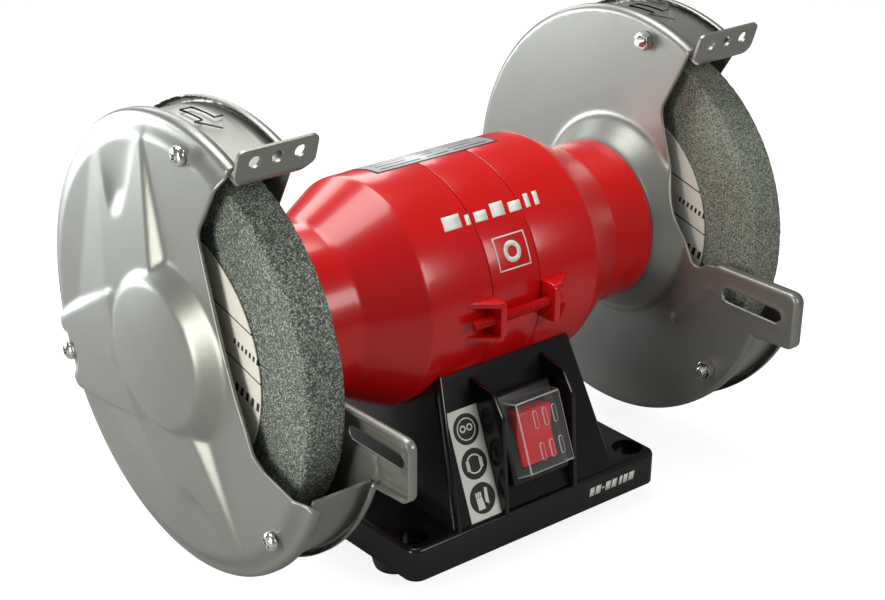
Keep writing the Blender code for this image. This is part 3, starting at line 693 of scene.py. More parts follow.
motor = {"radius": 46.8, "wall": 2.5, "seam": 12.4, "bodyHalf": 42.7, "neck": 34.4, "neckStart": 65.9,
         "neckEnd": 86.7, "endWall": 83.2, "bearingSeat": 17.6, "hubRadius": 20.5, "shaftHole": 10.5,
         "lugReach": 55, "lugHalf": 8, "lugPlate": 3.1, "gusset": 1.8, "boltLine": 50.5, "boltDrop": -1.3,
         "boltHole": 2.35}
acrossToPlan = Matrix(((0, 1, 0, 0), (0, 0, 1, 0), (1, 0, 0, 0), (0, 0, 0, 1)))  # a YZ drawing laid in XY


def makeMotorShell(name, side):
    radius, neck, seam, reach = motor["radius"], motor["neck"], motor["seam"], motor["lugReach"]
    inner, innerNeck, hub = radius - motor["wall"], neck - motor["wall"], motor["hubRadius"]
    wall, seat, hole = motor["endWall"], motor["bearingSeat"], motor["shaftHole"]
    profile = [(motor["neckEnd"], neck, 0.8), (motor["neckStart"], neck, 1.6), (motor["bodyHalf"], radius, 1.3),
               (seam, radius, 0.3), (seam, inner, 0.2), (42.1, inner, 1), (65.3, innerNeck, 1),
               (wall, innerNeck, 0.5), (wall, hub, 0.3), (70.5, hub, 0.3), (70.5, seat, 0.3),
               (wall - 1, seat, 0), (wall - 1, hole, 0.3), (motor["neckEnd"], hole, 0.3)]
    shell = turnedShape(profile, 160)
    lugs = []
    low, high = motor["boltDrop"] - motor["lugHalf"], motor["boltDrop"] + motor["lugHalf"]
    for way in (-1, 1):
        plate = slabShape([(45, high, 0), (reach, high, 2.4), (reach, low, 2.4), (45, low, 0)], seam,
                          seam + motor["lugPlate"], 0.5, 2)
        lugs.append(moved(plate, Matrix.Scale(way, 4, (0, 1, 0))))
        for z in (low + 0.07, high - motor["gusset"] - 0.07):
            gusset = flatShape([(seam + 0.6, 44.4, 0), (seam + 0.6, reach - 0.4, 0.8),
                                (seam + 3.4, reach - 0.4, 0.8), (28.5, 44.6, 0.4)])
            moved(gusset, Matrix.Translation((0, 0, z)) @ acrossToPlan)
            thickened(gusset, lambda place: Vector((0, 0, motor["gusset"])))
            roundEdges(gusset, 0.35, 2)
            lugs.append(moved(gusset, Matrix.Scale(way, 4, (0, 1, 0))))
    shell = carved(shell, "UNION", *lugs)
    alongX = Matrix.Rotation(math.pi / 2, 4, "Y")
    holes = [rodShape(motor["boltHole"], 5, 40,
                      Matrix.Translation((0, way * motor["boltLine"], motor["boltDrop"])) @ alongX)
             for way in (-1, 1)]
    shell = carved(shell, "DIFFERENCE", *holes)
    makePiece("motor_housing_" + name, shell, "red_paint", ["motor_shell_" + name], side=side, crease=35)


def threadShape(radius, pitch, low, high, steps=20):
    # one tooth of the thread spun and pushed along by a pitch each turn, capped by plain ends
    depth = 0.6 * pitch
    turns = int((high - low) / pitch)
    shape = bmesh.new()
    points = [shape.verts.new((low + share * pitch, 0, radius - cut * depth)) for share, cut in
              ((0, 1), (0.12, 1), (0.44, 0), (0.68, 0), (1, 1))]
    for start, end in zip(points, points[1:]):
        shape.edges.new((start, end))
    bmesh.ops.spin(shape, geom=shape.verts[:] + shape.edges[:], cent=(0, 0, 0), axis=(1, 0, 0),
                   steps=steps * turns, angle=2 * math.pi * turns, dvec=(pitch / steps, 0, 0))
    bmesh.ops.remove_doubles(shape, verts=shape.verts, dist=0.01)
    bmesh.ops.holes_fill(shape, edges=[edge for edge in shape.edges if edge.is_boundary], sides=0)
    bmesh.ops.recalc_face_normals(shape, faces=shape.faces)
    return shape


clampBolt = {"headTop": 19, "headRadius": 3.3, "head": 2.6, "thread": 2.15, "pitch": 1.0, "from": -26}


def makeClampBolts():
    top, wide, low = clampBolt["headTop"], clampBolt["headRadius"], clampBolt["headTop"] - clampBolt["head"]
    for end, way in (("front", -1), ("rear", 1)):
        head = turnedShape([(top, 0, 0), (top, wide - 0.6, 0.5), (low, wide, 0.4), (low, 0, 0)], 48,
                           closed=False)
        head = carved(head, "DIFFERENCE", boxShape((1.4, 8, 0.9), (top, 0, 0)))
        bolt = joined(head, threadShape(clampBolt["thread"], clampBolt["pitch"], clampBolt["from"],
                                        low + 0.4, 18))
        moved(bolt, Matrix.Translation((0, way * motor["boltLine"], motor["boltDrop"])))
        makePiece("painted_bolt_" + end, bolt, "red_paint", ["clamp_bolt_" + end])


def makeStator():
    half = 12.1
    ring = turnedShape([(half, motor["radius"], 0.25), (-half, motor["radius"], 0.25), (-half, 27.3, 0),
                        (half, 27.3, 0)], 160)
    makePiece("stator_ring", ring, "red_paint", ["stator_core"])


wheel = {"radius": 75, "near": 105, "width": 16, "bore": 6.7, "blotter": 47.4, "paper": 0.6, "paperBore": 8.5,
         "flange": 25, "gap": 0.3, "steps": 360, "grit": {"left": (0.42, 0.9, 11), "right": (0.3, 1.3, 29)}}


def makeWheel(name, side):
    near, far, radius, bore = wheel["near"], wheel["near"] + wheel["width"], wheel["radius"], wheel["bore"]
    faceRings, rimRows = 30, 12
    profile = [(near, bore + (radius - bore) * share / faceRings, 0) for share in range(faceRings + 1)]
    profile += [(near + wheel["width"] * share / rimRows, radius, 0) for share in range(1, rimRows)]
    profile += [(x + wheel["width"], ring, 0) for x, ring, rounding in reversed(profile[:faceRings + 1])]
    stone = turnedShape(profile, wheel["steps"])
    rough, scale, seed = wheel["grit"][name]
    middle = (near + far) / 2
    for point in stone.verts:
        spread = noise.noise(point.co * scale + Vector((seed, 0, 0))) + 0.6 * noise.noise(point.co * scale * 2.3)
        radial, aside = Vector((0, point.co.y, point.co.z)), point.co.x - middle
        if radial.length > radius - 0.01:
            corner = abs(aside) > wheel["width"] / 2 - 0.01
            point.co -= radial.normalized() * (rough * abs(spread) + (0.35 if corner else 0))
        if radial.length > wheel["blotter"] + 1 and abs(abs(aside) - wheel["width"] / 2) < 0.01:
            point.co.x -= math.copysign(rough * 0.6 * abs(spread), aside)
    finish = "abrasive" if name == "left" else "fine_abrasive"
    makePiece("stone_" + name, stone, finish, ["grinding_wheel_" + name], side=side, crease=80)
    for face, low in (("inner", near - wheel["gap"] - wheel["paper"]), ("outer", far + wheel["gap"])):
        high, hole, rim = low + wheel["paper"], wheel["paperBore"], wheel["blotter"]
        paper = turnedShape([(low, hole, 0), (low, rim, 0.15), (high, rim, 0.15), (high, hole, 0)], 128)
        makePiece(f"paper_{face}_{name}", paper, "blotter_paper", [f"blotter_{face}_{name}"], side=side)
    makeFlanges(name, side, near - 2 * wheel["gap"] - wheel["paper"], far + 2 * wheel["gap"] + wheel["paper"])


def makeFlanges(name, side, inside, outside):
    wide = wheel["flange"]
    inner = [(inside, wide, 0.3), (inside - 3, wide, 0.6), (inside - 5.4, 14, 1.2), (inside - 5.4, 6.6, 0.3),
             (inside - 1, 6.6, 0), (inside - 1, 16, 0), (inside, 16, 0)]
    makePiece("clamp_flange_inner_" + name, turnedShape(inner), "zinc", ["flange_inner_" + name], side=side)
    outer = [(outside + 4.8, 6.6, 0.3), (outside + 4.8, 14, 1.2), (outside + 2.5, wide, 0.6), (outside, wide, 0.3),
             (outside, 16, 0), (outside + 1, 16, 0), (outside + 1, 6.6, 0)]
    makePiece("clamp_flange_outer_" + name, turnedShape(outer), "zinc", ["flange_outer_" + name], side=side)
    seat = outside + 4.8 + wheel["gap"]
    makePiece("wheel_nut_" + name, nutShape(19, 6.3, seat, seat + 7), "zinc", ["spindle_nut_" + name],
              side=side)


def nutShape(flats, bore, low, high):
    # a hexagon with both rims chamfered and the bore countersunk
    corner = flats / 2 / math.cos(math.pi / 6)
    hexagon = rodShape(corner, low, high, Matrix.Rotation(math.pi / 2, 4, "Y"), 6)
    chamfer = (corner - flats / 2) * 0.6
    turned = turnedShape([(low, 0, 0), (low, flats / 2 * 0.97, 0), (low + chamfer, corner + 0.01, 0),
                          (high - chamfer, corner + 0.01, 0), (high, flats / 2 * 0.97, 0), (high, 0, 0)],
                         48, closed=False)
    sunk = bore * 1.12
    hole = turnedShape([(low - 1, 0, 0), (low - 1, sunk, 0), (low, sunk, 0), (low + sunk - bore, bore, 0),
                        (high - sunk + bore, bore, 0), (high, sunk, 0), (high + 1, sunk, 0),
                        (high + 1, 0, 0)], 32, closed=False)
    return carved(carved(hexagon, "INTERSECT", turned), "DIFFERENCE", hole)


guard = {"radius": 89.5, "sheet": 1.2, "plateX": 97, "rimX": 126, "lip": 4.5, "shoulder": 2.5,
         "bandRadius": 87.2, "bandStart": 62.6, "bandEnd": 340, "flangeHeight": 13.5,
         "flangeLean": math.radians(17.5), "flangeEnds": (93.5, 127), "flangeCorner": 2.6, "flangeHole": 2.4,
         "holeStep": 9.4, "holeDrop": 5.4, "seat": 3.0, "armTilt": math.radians(20), "cell": 1.25,
         "slotHalf": 3.5, "shaftHole": 10.5}
arrowSizes = {"at": 86, "tail": 15, "tip": -9, "shaftHalf": 2.4, "headHalf": 6, "line": 1.1, "height": 0.7}
screwAngles = (80, 200, 320)
screwCircle = 81
coverOpening = [(-75, -31, 5), (-57, -27, 4), (-50.5, -23, 4), (-46, -13, 5), (-42, -6, 5), (-36, 8, 20),
                (-30, 24, 12), (-25, 40, 7), (-20.8, 53, 3.5), (-36.5, 78, 4)]
plateOpening = [(-57.2, -6.2, 2.2), (-51.4, -10.3, 3.2), (-47, -7.9, 4), (-40, 4.3, 12), (-31.6, 28.4, 12),
                (-25, 48.5, 4), (-24.2, 53.4, 3), (-34.5, 73, 6), (-37, 78.4, 2)]
bracketOutline = [(-84.6, -27.9, 1.5), (-104.2, -26.6, 2.2), (-104.2, -5.6, 2.2), (-100.5, -5.4, 0.8)]
slotEnds = (Vector((-69.5, -15.5)), Vector((-95.5, -15.7)))


def softMin(first, second, width):
    share = min(max(0.5 + 0.5 * (second - first) / width, 0), 1)
    return second + (first - second) * share - width * share * (1 - share)


def softMax(first, second, width):
    return -softMin(-first, -second, width)


def coverHeight(y, z):
    # how far the pressed cover stands out: a tent with a steep front, a V recess at each end, an arm to the
    # rear and a dome over the hub; along and across run with and across that arm
    radius = math.hypot(y, z)
    along = y * math.cos(guard["armTilt"]) - z * math.sin(guard["armTilt"])
    across = abs(y * math.sin(guard["armTilt"]) + z * math.cos(guard["armTilt"]))
    level = guard["seat"]
    tent = level + 6.95 * max(1 - across / 84, 0)
    rearCrest = 18 + (80 - across) * 0.216
    roof = tent - 0.16 * softMax(along - rearCrest, 0, 0.8)
    middle, half = 9.6 - (across - 58) * 0.4, max(7 + (across - 58) * 0.39, 3)
    bowl = max(1 - ((along - middle) / half) ** 2, 0) * easeStep(51, 63, across)
    roof -= 0.95 * (tent - level) * bowl
    frontCrest, rampFoot = -4.8 - (across - 24) * 0.21, -12 - (across - 24) * 0.1
    ramp = tent - (tent - level) * (frontCrest - along) / max(frontCrest - rampFoot, 0.6)
    height = softMax(softMin(roof, ramp, 0.35), level, 0.35)
    if along > 15:
        arm = level + 7.0 - 0.085 * (along - 30) - 0.0022 * across ** 2
        arm -= 0.25 * max(28 - along, 0) + 0.9 * softMax(across - 24 + 0.2 * (along - 30), 0, 1)
        height = softMax(height, arm, 0.5)
    dome = softMin(10.4 + 2.6 * (1 - (radius / 28) ** 2), 10.4 - 0.9 * (radius - 28), 0.6)
    height = softMax(height, dome, 0.8)
    for angle in screwAngles:
        seatY, seatZ = aroundShaft(screwCircle, angle)
        height = level + (height - level) * easeStep(5.5, 11, math.hypot(y - seatY, z - seatZ))
    return height * (1 - easeStep(79.5, 86.5, radius))


def makeCover(name, side):
    arcRadius = guard["radius"] - guard["shoulder"]
    outline = arcPoints(arcRadius, 64.9, 338.3, 200) + coverOpening
    sheet = slicedSheet(flatShape(outline, 5), guard["cell"], (-90, -90), (90, 90))
    shoulder = foldSteps(guard["shoulder"], guard["lip"])
    curl = foldSteps(0.8, 1.3)
    rolledRim(sheet, lambda y, z: shoulder if math.hypot(y, z) > arcRadius - 0.05 else curl, -1, arcRadius)
    for point in sheet.verts:
        point.co.x += guard["rimX"] + coverHeight(point.co.y, point.co.z)
    faceTowards(sheet, 1)
    piece = makePiece("wheel_cover_" + name, sheet, "guard_paint", ["guard_cover_" + name], side=side, crease=50)
    addWall(piece, guard["sheet"])


def faceTowards(sheet, way):
    # makes the outer skin's normals point along X
    bmesh.ops.recalc_face_normals(sheet, faces=sheet.faces)
    total = sum(face.normal.x * face.calc_area() for face in sheet.faces)
    if total * way < 0:
        bmesh.ops.reverse_faces(sheet, faces=sheet.faces)


def plateDepth(y, z):
    # how far the plate is pressed towards the motor: the cup round the neck, two dimples and a short rib
    radius = math.hypot(y, z)
    cupDepth = guard["plateX"] - motor["neckEnd"] - 0.3
    depth = cupDepth * (1 - softStep((radius - 33) / 10))
    for dimpleY, dimpleZ, reach in ((-41, -36, 1.6), (-59, -16, 1.3)):
        away = math.hypot(y - dimpleY, z - dimpleZ)
        depth += 0.8 * math.exp(-(away / reach) ** 2)
    ribRun = Vector((-59 + 41, -16 + 36)).normalized()
    offset = Vector((y + 41, z + 36))
    down, aside = offset.dot(ribRun), offset.x * ribRun.y - offset.y * ribRun.x
    depth += 0.25 * math.exp(-(aside / 2.2) ** 2) * easeStep(0, 4, down) * (1 - easeStep(18, 26, down))
    slot = slotDistance(y, z)
    return depth + 0.35 * math.exp(-((slot - 3.4) / 1.0) ** 2)


def softStep(share):
    # a straight cone with short curves where it starts and ends
    share = min(max(share, -0.5), 1.5)
    return softMin(softMax(share, 0, 0.16), 1, 0.16)


def slotDistance(y, z):
    point = Vector((y, z))
    run = slotEnds[1] - slotEnds[0]
    share = min(max((point - slotEnds[0]).dot(run) / run.length_squared, 0), 1)
    return (point - slotEnds[0] - run * share).length


def slotOutline(half, steps=12):
    angle = math.atan2(slotEnds[1].y - slotEnds[0].y, slotEnds[1].x - slotEnds[0].x)
    outline = []
    for centre, start in ((slotEnds[1], -math.pi / 2), (slotEnds[0], math.pi / 2)):
        for step in range(steps + 1):
            turn = angle + start + math.pi * step / steps
            outline.append((centre.x + half * math.cos(turn), centre.y + half * math.sin(turn), 0))
    return outline


def makePlate(name, side):
    arcRadius = guard["radius"] - guard["shoulder"]
    outline = arcPoints(arcRadius, 64.9, 340.9, 200) + bracketOutline + plateOpening
    solid = carved(slabShape(outline, 0, 1), "DIFFERENCE", slabShape(slotOutline(guard["slotHalf"]), -5, 5),
                   rodShape(guard["shaftHole"], -5, 5, Matrix.Rotation(math.pi / 2, 4, "Y"), 64))
    rest = [face for face in solid.faces if max(corner.co.x for corner in face.verts) > 0.001]
    bmesh.ops.delete(solid, geom=rest, context="FACES")
    bmesh.ops.remove_doubles(solid, verts=solid.verts, dist=0.005)
    sheet = slicedSheet(solid, guard["cell"], (-106, -90), (90, 90))
    shoulder = foldSteps(guard["shoulder"], guard["lip"])
    fold = foldSteps(1.5, guard["lip"])
    curl = foldSteps(0.6, 1.0)

    def foldAt(y, z):
        if math.hypot(y, z) > arcRadius - 0.05 and y > -84:
            return shoulder
        return fold if y < -61 and slotDistance(y, z) > 4 else curl

    rolledRim(sheet, foldAt, 1, arcRadius)
    for point in sheet.verts:
        point.co.x += guard["plateX"] - plateDepth(point.co.y, point.co.z)
    faceTowards(sheet, -1)
    piece = makePiece("back_plate_" + name, sheet, "guard_paint", ["guard_plate_" + name], side=side, crease=50)
    addWall(piece, guard["sheet"])


def arrowShape(radius):
    # the outline of an arrow that shows which way the wheel turns, standing a little out of the band
    middle, start = (guard["plateX"] + guard["rimX"]) / 2, math.radians(arrowSizes["at"]) * radius
    tail, tip, thin, wide = (arrowSizes[label] for label in ("tail", "tip", "shaftHalf", "headHalf"))
    corners = [(-thin, tail), (thin, tail), (thin, 0), (wide, 0), (0, tip), (-wide, 0), (-thin, 0)]
    arrow = bmesh.new()
    face = arrow.faces.new([arrow.verts.new((middle + x, start + y, 0)) for x, y in corners])
    bmesh.ops.inset_region(arrow, faces=[face], thickness=arrowSizes["line"], use_boundary=True,
                           use_even_offset=True)
    bmesh.ops.delete(arrow, geom=[face], context="FACES")
    return thickened(wrapped(arrow, radius - 0.05),
                     lambda place: Vector((0, place.y, place.z)).normalized() * arrowSizes["height"])


def makeBand(name, side):
    low, high = guard["plateX"] + guard["sheet"] + 0.6, guard["rimX"] - guard["sheet"] - 0.6
    middle = guard["bandRadius"] - guard["sheet"] / 2
    y, z = aroundShaft(middle, guard["bandStart"])
    strip = bmesh.new()
    rows = 10
    line = [strip.verts.new((low + (high - low) * row / rows, y, z)) for row in range(rows + 1)]
    edges = [strip.edges.new(pair) for pair in zip(line, line[1:])]
    bmesh.ops.spin(strip, geom=line + edges, cent=(0, 0, 0), axis=(1, 0, 0), steps=140,
                   angle=math.radians(guard["bandStart"] - guard["bandEnd"]))
    # the upper end is bent out round a small radius, then widens into the flange
    bendRadius, bendSteps = 2.2, 5
    startAngle = math.radians(guard["bandStart"])
    tangent = Vector((0, -math.sin(startAngle), -math.cos(startAngle)))
    lean = Vector((0, -math.sin(guard["flangeLean"]), math.cos(guard["flangeLean"])))
    shares = [step / bendSteps for step in range(1, bendSteps + 1)]
    travelled = [(tangent * (1 - share) + lean * share).normalized() for share in shares]
    moves = [direction * (bendRadius * 2 / bendSteps) for direction in travelled]
    straight = guard["flangeHeight"] - 2
    moves += [lean * (straight * share) for share in (0.15, 0.25, 0.25, 0.35)]
    for number, move in enumerate(moves):
        grown = bmesh.ops.extrude_edge_only(strip, edges=edges)["geom"]
        edges = [item for item in grown if isinstance(item, bmesh.types.BMEdge)]
        points = sorted((item for item in grown if isinstance(item, bmesh.types.BMVert)),
                        key=lambda point: point.co.x)
        spread = easeStep(1, 5, number)
        first = low + (guard["flangeEnds"][0] - low) * spread
        last = high + (guard["flangeEnds"][1] - high) * spread
        for row, point in enumerate(points):
            point.co.x = first + (last - first) * row / rows
            point.co.y += move.y
            point.co.z += move.z
    bmesh.ops.bevel(strip, geom=[points[0], points[-1]], offset=guard["flangeCorner"], segments=4, profile=0.5,
                    affect="VERTICES", material=-1, clamp_overlap=True)
    faceOut = max(strip.verts, key=lambda point: point.co.y)
    bmesh.ops.recalc_face_normals(strip, faces=strip.faces)
    if faceOut.link_faces[0].normal.y < 0:
        bmesh.ops.reverse_faces(strip, faces=strip.faces)
    strip.faces.ensure_lookup_table()
    bmesh.ops.solidify(strip, geom=strip.faces[:], thickness=guard["sheet"])
    top = Vector((0, y, z)) + sum(moves, Vector())
    through = Matrix.Rotation(math.pi / 2 + guard["flangeLean"], 4, "X")
    tools = []
    for number in (-1, 0, 1):
        x = sum(guard["flangeEnds"]) / 2 + guard["holeStep"] * number
        centre = top - lean * guard["holeDrop"]
        tools.append(rodShape(guard["flangeHole"], -6, 6, Matrix.Translation((x, centre.y, centre.z)) @ through))
    strip = joined(carved(strip, "DIFFERENCE", *tools), arrowShape(guard["bandRadius"]))
    makePiece("wheel_band_" + name, strip, "guard_paint", ["guard_band_" + name], side=side, crease=35)


def panHead(low):
    # a pan head with a cross recess, its flat at x = low
    head = turnedShape([(low, 0, 0), (low, 3.8, 0.25), (low + 1.5, 3.8, 0.9), (low + 2.6, 2.2, 1.0),
                        (low + 2.6, 0, 0)], 48, closed=False)
    blades = []
    for turn in (35, 125):
        turned = Matrix.Rotation(math.radians(turn), 4, "X")
        blades.append(boxShape((3.2, 4.6, 1.1), (low + 2.6, 0, 0), turned, 0.25, 2))
    return carved(head, "DIFFERENCE", *blades)


def makeGuardScrews(name, side):
    headX = guard["rimX"] + guard["seat"] + 0.3
    for number, angle in enumerate(screwAngles, 1):
        y, z = aroundShaft(screwCircle, angle)
        place = Matrix.Translation((0, y, z))
        screw = joined(panHead(headX), threadShape(2.0, 0.7, 91, headX + 0.4, 16))
        makePiece(f"pan_screw_{name}_{number}", moved(screw, place), "zinc", [f"guard_screw_{name}_{number}"],
                  side=side)
        nut = nutShape(7, 2.25, guard["plateX"] - 3.5, guard["plateX"] - 0.3)
        turn = Matrix.Rotation(math.radians(17 * number), 4, "X")
        makePiece(f"guard_hex_{name}_{number}", moved(nut, place @ turn), "zinc", [f"guard_nut_{name}_{number}"],
                  side=side)


def wrapped(shape, radius):
    # bends a flat drawing, x along the shaft and y the arc length up from the front, round the motor
    bmesh.ops.triangulate(shape, faces=[face for face in shape.faces if len(face.verts) > 4])
    for step in range(-60, 160, 2):
        bmesh.ops.bisect_plane(shape, geom=shape.verts[:] + shape.edges[:] + shape.faces[:], dist=0.001,
                               plane_co=(0, step, 0), plane_no=(0, 1, 0))
    for point in shape.verts:
        angle = point.co.y / radius
        point.co = (point.co.x, -radius * math.cos(angle), radius * math.sin(angle))
    bmesh.ops.recalc_face_normals(shape, faces=shape.faces)
    for face in shape.faces:
        if face.normal.dot(Vector((0, face.calc_center_median().y, face.calc_center_median().z))) < 0:
            face.normal_flip()
    return shape


def flatQuad(shape, corners, materialIndex=0):
    face = shape.faces.new([shape.verts.new((x, y, 0)) for x, y in corners])
    face.material_index = materialIndex
    return face


def flatRing(shape, outer, inner, centre, materialIndex=0, steps=40):
    edges = []
    for radius in (outer, inner):
        made = bmesh.ops.create_circle(shape, cap_ends=False, segments=steps, radius=radius,
                                       matrix=Matrix.Translation((*centre, 0)))
        edges += list({edge for point in made["verts"] for edge in point.link_edges})
    for face in bmesh.ops.bridge_loops(shape, edges=edges)["faces"]:
        face.material_index = materialIndex


# the marks' places are in degrees up from the front and in millimetres along the shaft
motorMarks = {"barsFrom": -26.5, "barsSpan": 57, "bars": (8.6, 2.2, 6.2, 6.6, 6.2, 2.4, 2.4),
              "tallBars": (0, 3, 5, 6), "barsLow": 43.4, "barsHigh": 50.6, "lean": 1.3,
              "frameLow": 17.3, "frameHigh": 34, "frameEnds": (-7.4, 8.7), "line": 0.55, "ring": (4.3, 2.3),
              "plateEnds": (-32, 30), "plateLow": 90.5, "plateHigh": 125}


def makeMotorMarks():
    print("  marks on the motor")
    radius = motor["radius"] + 0.03
    perDegree = radius * math.pi / 180
    motorBody = frame["nodes"]["stator_core"]["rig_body"]
    marks = bmesh.new()
    low, high = motorMarks["barsLow"] * perDegree, motorMarks["barsHigh"] * perDegree
    widths = motorMarks["bars"]
    gap = (motorMarks["barsSpan"] - sum(widths)) / (len(widths) - 1) * 0.62
    x = motorMarks["barsFrom"]
    for number, width in enumerate(widths):
        top = high if number in motorMarks["tallBars"] else low + (high - low) * 0.74
        rise = motorMarks["lean"] * (top - low) / (high - low)
        flatQuad(marks, [(x, low), (x + width, low), (x + width + rise, top), (x + rise, top)])
        x += width + gap
    low, high = motorMarks["frameLow"] * perDegree, motorMarks["frameHigh"] * perDegree
    (left, right), line = motorMarks["frameEnds"], motorMarks["line"]
    for x0, x1, y0, y1 in ((left, right, low, low + line), (left, right, high - line, high),
                           (left, left + line, low + line, high - line),
                           (right - line, right, low + line, high - line)):
        flatQuad(marks, [(x0, y0), (x1, y0), (x1, y1), (x0, y1)])
    flatRing(marks, *motorMarks["ring"], ((left + right) / 2, (low + high) / 2))
    piece = makePiece("motor_marks", wrapped(marks, radius), "pale_print", body=motorBody)
    addWall(piece, 0.06, 1)
    left, right = motorMarks["plateEnds"]
    low, high = motorMarks["plateLow"] * perDegree, motorMarks["plateHigh"] * perDegree
    label = bmesh.new()
    flatQuad(label, [(left, low), (right, low), (right, high), (left, high)], 1)
    piece = makePiece("rating_plate", wrapped(label, radius), "grey_print", body=motorBody,
                      extra=["black_print"])
    addWall(piece, 0.1, 1)
    rows = bmesh.new()
    flatQuad(rows, [(left + 1, low + 0.9), (right - 1, low + 0.9), (right - 1, high - 0.9), (left + 1, high - 0.9)])
    for row in range(6):
        at = low + 3 + row * 3.6
        for start, end in ((-28, -8), (-5, 6), (9, 26)):
            end -= (row * 5) % 7
            flatQuad(rows, [(start, at), (end, at), (end, at + 0.9), (start, at + 0.9)], 1)
    piece = makePiece("rating_face", wrapped(rows, radius + 0.12), "grey_print", body=motorBody,
                      extra=["black_print"])
    addWall(piece, 0.04, 1)


labelStrip = {"at": (-27, -59), "half": (7.9, 22.6), "discs": (14.2, 0, -14.2), "disc": 6.3}


def makeLabelStrip():
    # a pale strip with three dark discs, each with a plain sign of its own
    x, z = labelStrip["at"]
    frameOfStrip = Matrix.Translation((x, -pedestalHalf(z, 1), z)) @ Matrix.Rotation(math.pi / 2 - slope, 4, "X")
    halfWidth, halfLength = labelStrip["half"]
    strip = boxShape((2 * halfWidth, 2 * halfLength, 0.16), (0, 0, 0.14), edgeRounding=0.03, segments=1)
    for centre in labelStrip["discs"]:
        disc = rodShape(labelStrip["disc"], 0.2, 0.3, Matrix.Translation((0, centre, 0)), 56)
        for face in disc.faces:
            face.material_index = 1
        strip = joined(strip, disc)
    signs = bmesh.new()
    for x in (-1.7, 1.7):
        flatRing(signs, 1.5, 0.85, (x, 14.6), steps=24)
    flatRing(signs, 4.6, 4.1, (0, 14.2))
    flatRing(signs, 4.0, 3.4, (0, 0))
    for x in (-4.1, 2.5):
        flatQuad(signs, [(x, -2.2), (x + 1.6, -2.2), (x + 1.6, 1.8), (x, 1.8)])
    flatQuad(signs, [(-3.0, -18.6), (0.4, -18.6), (-0.2, -13.6), (-3.2, -13.6)])
    for finger in range(3):
        x = -3.2 + finger * 1.05
        flatQuad(signs, [(x, -13.4), (x + 0.8, -13.4), (x + 0.8, -11.4), (x, -11.4)])
    flatQuad(signs, [(0.9, -16), (2.6, -17.2), (3.0, -10.6), (1.6, -10.2)])
    bmesh.ops.translate(signs, vec=(0, 0, 0.33), verts=signs.verts)
    strip = joined(strip, thickened(signs, lambda place: Vector((0, 0, 0.05))))
    makePiece("label_strip", moved(strip, frameOfStrip), "pale_print",
              body=frame["nodes"]["base_housing"]["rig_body"], extra=["black_print"])


plinthMark = {"from": 27.0, "half": 1.9, "lean": 0.3, "gap": 0.8, "drop": 6.6,
              "bars": ((2.6, 1), (2.8, 1), (1.2, 0.2), (2.8, 1), (2.6, 1), (0, 0), (1.6, 1), (2.4, 1), (2.8, 1))}


def makePlinthMark():
    # plain pale dashes low on the plinth's front
    marks = bmesh.new()
    x, lean = plinthMark["from"], plinthMark["lean"]
    for width, tall in plinthMark["bars"]:
        half = plinthMark["half"] * tall
        if width:
            flatQuad(marks, [(x - lean, -half), (x + width - lean, -half), (x + width + lean, half),
                             (x + lean, half)])
        x += width + plinthMark["gap"]
    place = (0, -baseSizes["depth"] / 2 - 0.02, pedestal["plinthTop"] - plinthMark["drop"])
    moved(marks, Matrix.Translation(place) @ Matrix.Rotation(math.pi / 2, 4, "X"))
    bmesh.ops.recalc_face_normals(marks, faces=marks.faces)
    for face in marks.faces:
        if face.normal.y > 0:
            face.normal_flip()
    piece = makePiece("plinth_mark", marks, "pale_print", body=frame["nodes"]["base_housing"]["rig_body"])
    addWall(piece, 0.06, 1)


def finishCadNodes():
    # the inner pieces keep their CAD shape
    looks = {"steel": ["base_plate", "shaft", "rotor", "inner_race", "outer_race", "ball_cage"],
             "copper": ["winding"], "capacitor_can": ["capacitor"], "zinc": ["motor_screw"],
             "rubber": ["cord_gland"]}
    for look, starts in looks.items():
        for name, node in frame["nodes"].items():
            if any(name.startswith(start) for start in starts):
                node.data.materials.clear()
                node.data.materials.append(finishes[look])


print("base and switch")
makeBase()
makeFeet()
makeSwitch()
print("motor")
makeStator()
makeClampBolts()
for sideName, sideSign in sides.items():
    makeMotorShell(sideName, sideSign)
makeMotorMarks()
makeLabelStrip()
makePlinthMark()
for sideName, sideSign in sides.items():
    print("wheel and guard:", sideName)
    makeWheel(sideName, sideSign)
    makePlate(sideName, sideSign)
    makeBand(sideName, sideSign)
    makeCover(sideName, sideSign)
    makeGuardScrews(sideName, sideSign)
finishCadNodes()

studio = {"azimuth": -40.11, "elevation": 27.57, "roll": 0.72, "distance": 816.2, "target": (5, 0, -72),
          "lens": 78.12, "shift": (-0.0067, 0.1354), "world": 0.16, "floor": 0.36, "floorGlow": 0.84}
lights = [
    {"name": "overhead", "at": (-40, 200, 640), "aim": (0, 0, 0), "size": (620, 380), "power": 4.6,
     "tint": (1, 1, 1)},
    {"name": "leftBank", "at": (-640, -110, 110), "aim": (-130, 0, 0), "size": (170, 380), "power": 2.3,
     "tint": (1, 0.98, 0.93)},
    {"name": "rearLeftBank", "at": (-350, 660, 40), "aim": (-130, 0, 0), "size": (420, 240), "power": 4.0,
     "tint": (0.9, 0.95, 1)},
    {"name": "frontBank", "at": (180, -640, 320), "aim": (0, 0, -20), "size": (360, 220), "power": 1.7,
     "tint": (1, 0.98, 0.95)},
    {"name": "backBank", "at": (200, 600, 330), "aim": (0, 0, 0), "size": (460, 240), "power": 1.4,
     "tint": (1, 1, 1)},
]


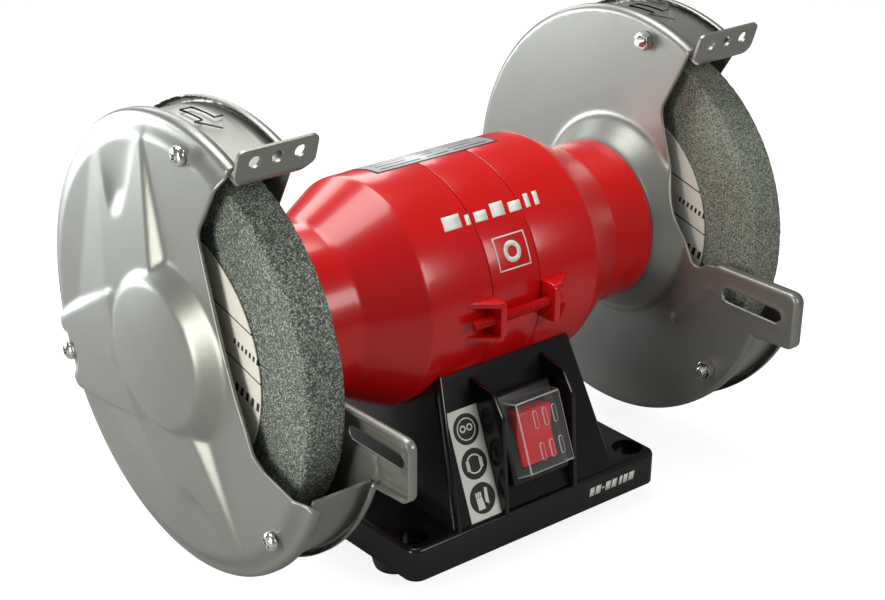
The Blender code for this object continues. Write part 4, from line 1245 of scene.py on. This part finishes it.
def makeStudio():
    floor = bmesh.new()
    bmesh.ops.create_grid(floor, x_segments=1, y_segments=1, size=6.0)
    mesh = bpy.data.meshes.new("floor")
    floor.to_mesh(mesh)
    floor.free()
    material, tree, shader = newMaterial("paleFloor", (studio["floor"],) * 3, 0.8)
    seen = addNode(tree, "ShaderNodeLightPath")
    tree.links.new(addMath(tree, "MULTIPLY", seen.outputs["Is Camera Ray"], studio["floorGlow"]),
                   shader.inputs["Emission Strength"])
    shader.inputs["Emission Color"].default_value = (1, 1, 1, 1)
    mesh.materials.append(material)
    plane = bpy.data.objects.new("floor", mesh)
    bpy.context.scene.collection.objects.link(plane)
    for light in lights:
        data = bpy.data.lights.new(light["name"], "AREA")
        data.shape = "RECTANGLE"
        data.size, data.size_y = (value * mm for value in light["size"])
        data.energy = light["power"]
        data.color = light["tint"]
        lamp = bpy.data.objects.new(light["name"], data)
        lamp.visible_camera = False
        toward = Vector(light["aim"]) - Vector(light["at"])
        turned = toward.to_track_quat("-Z", "Y").to_matrix().to_4x4()
        lamp.matrix_world = Matrix.Translation(shaftPoint + Vector(light["at"]) * mm) @ turned
        bpy.context.scene.collection.objects.link(lamp)
    world = bpy.data.worlds.new("studio")
    world.use_nodes = True
    world.node_tree.nodes["Background"].inputs["Color"].default_value = (1, 1, 1, 1)
    world.node_tree.nodes["Background"].inputs["Strength"].default_value = studio["world"]
    bpy.context.scene.world = world
    bpy.context.scene.view_settings.view_transform = "Standard"


def makeCamera():
    azimuth, elevation = math.radians(studio["azimuth"]), math.radians(studio["elevation"])
    level = math.cos(elevation)
    back = Vector((math.sin(azimuth) * level, -math.cos(azimuth) * level, math.sin(elevation)))
    right = Vector((math.cos(azimuth), math.sin(azimuth), 0))
    turned = Matrix((right, back.cross(right), back)).transposed()
    data = bpy.data.cameras.new("camera")
    data.sensor_width = 36
    data.lens = studio["lens"]
    data.shift_x, data.shift_y = studio["shift"]
    camera = bpy.data.objects.new("camera", data)
    place = shaftPoint + (Vector(studio["target"]) + back * studio["distance"]) * mm
    roll = Matrix.Rotation(math.radians(studio["roll"]), 3, back)
    camera.matrix_world = Matrix.Translation(place) @ (roll @ turned).to_4x4()
    bpy.context.scene.collection.objects.link(camera)
    bpy.context.scene.camera = camera


print("floor, light and camera")
makeStudio()
makeCamera()
bpy.context.view_layer.update()
print("pieces done")
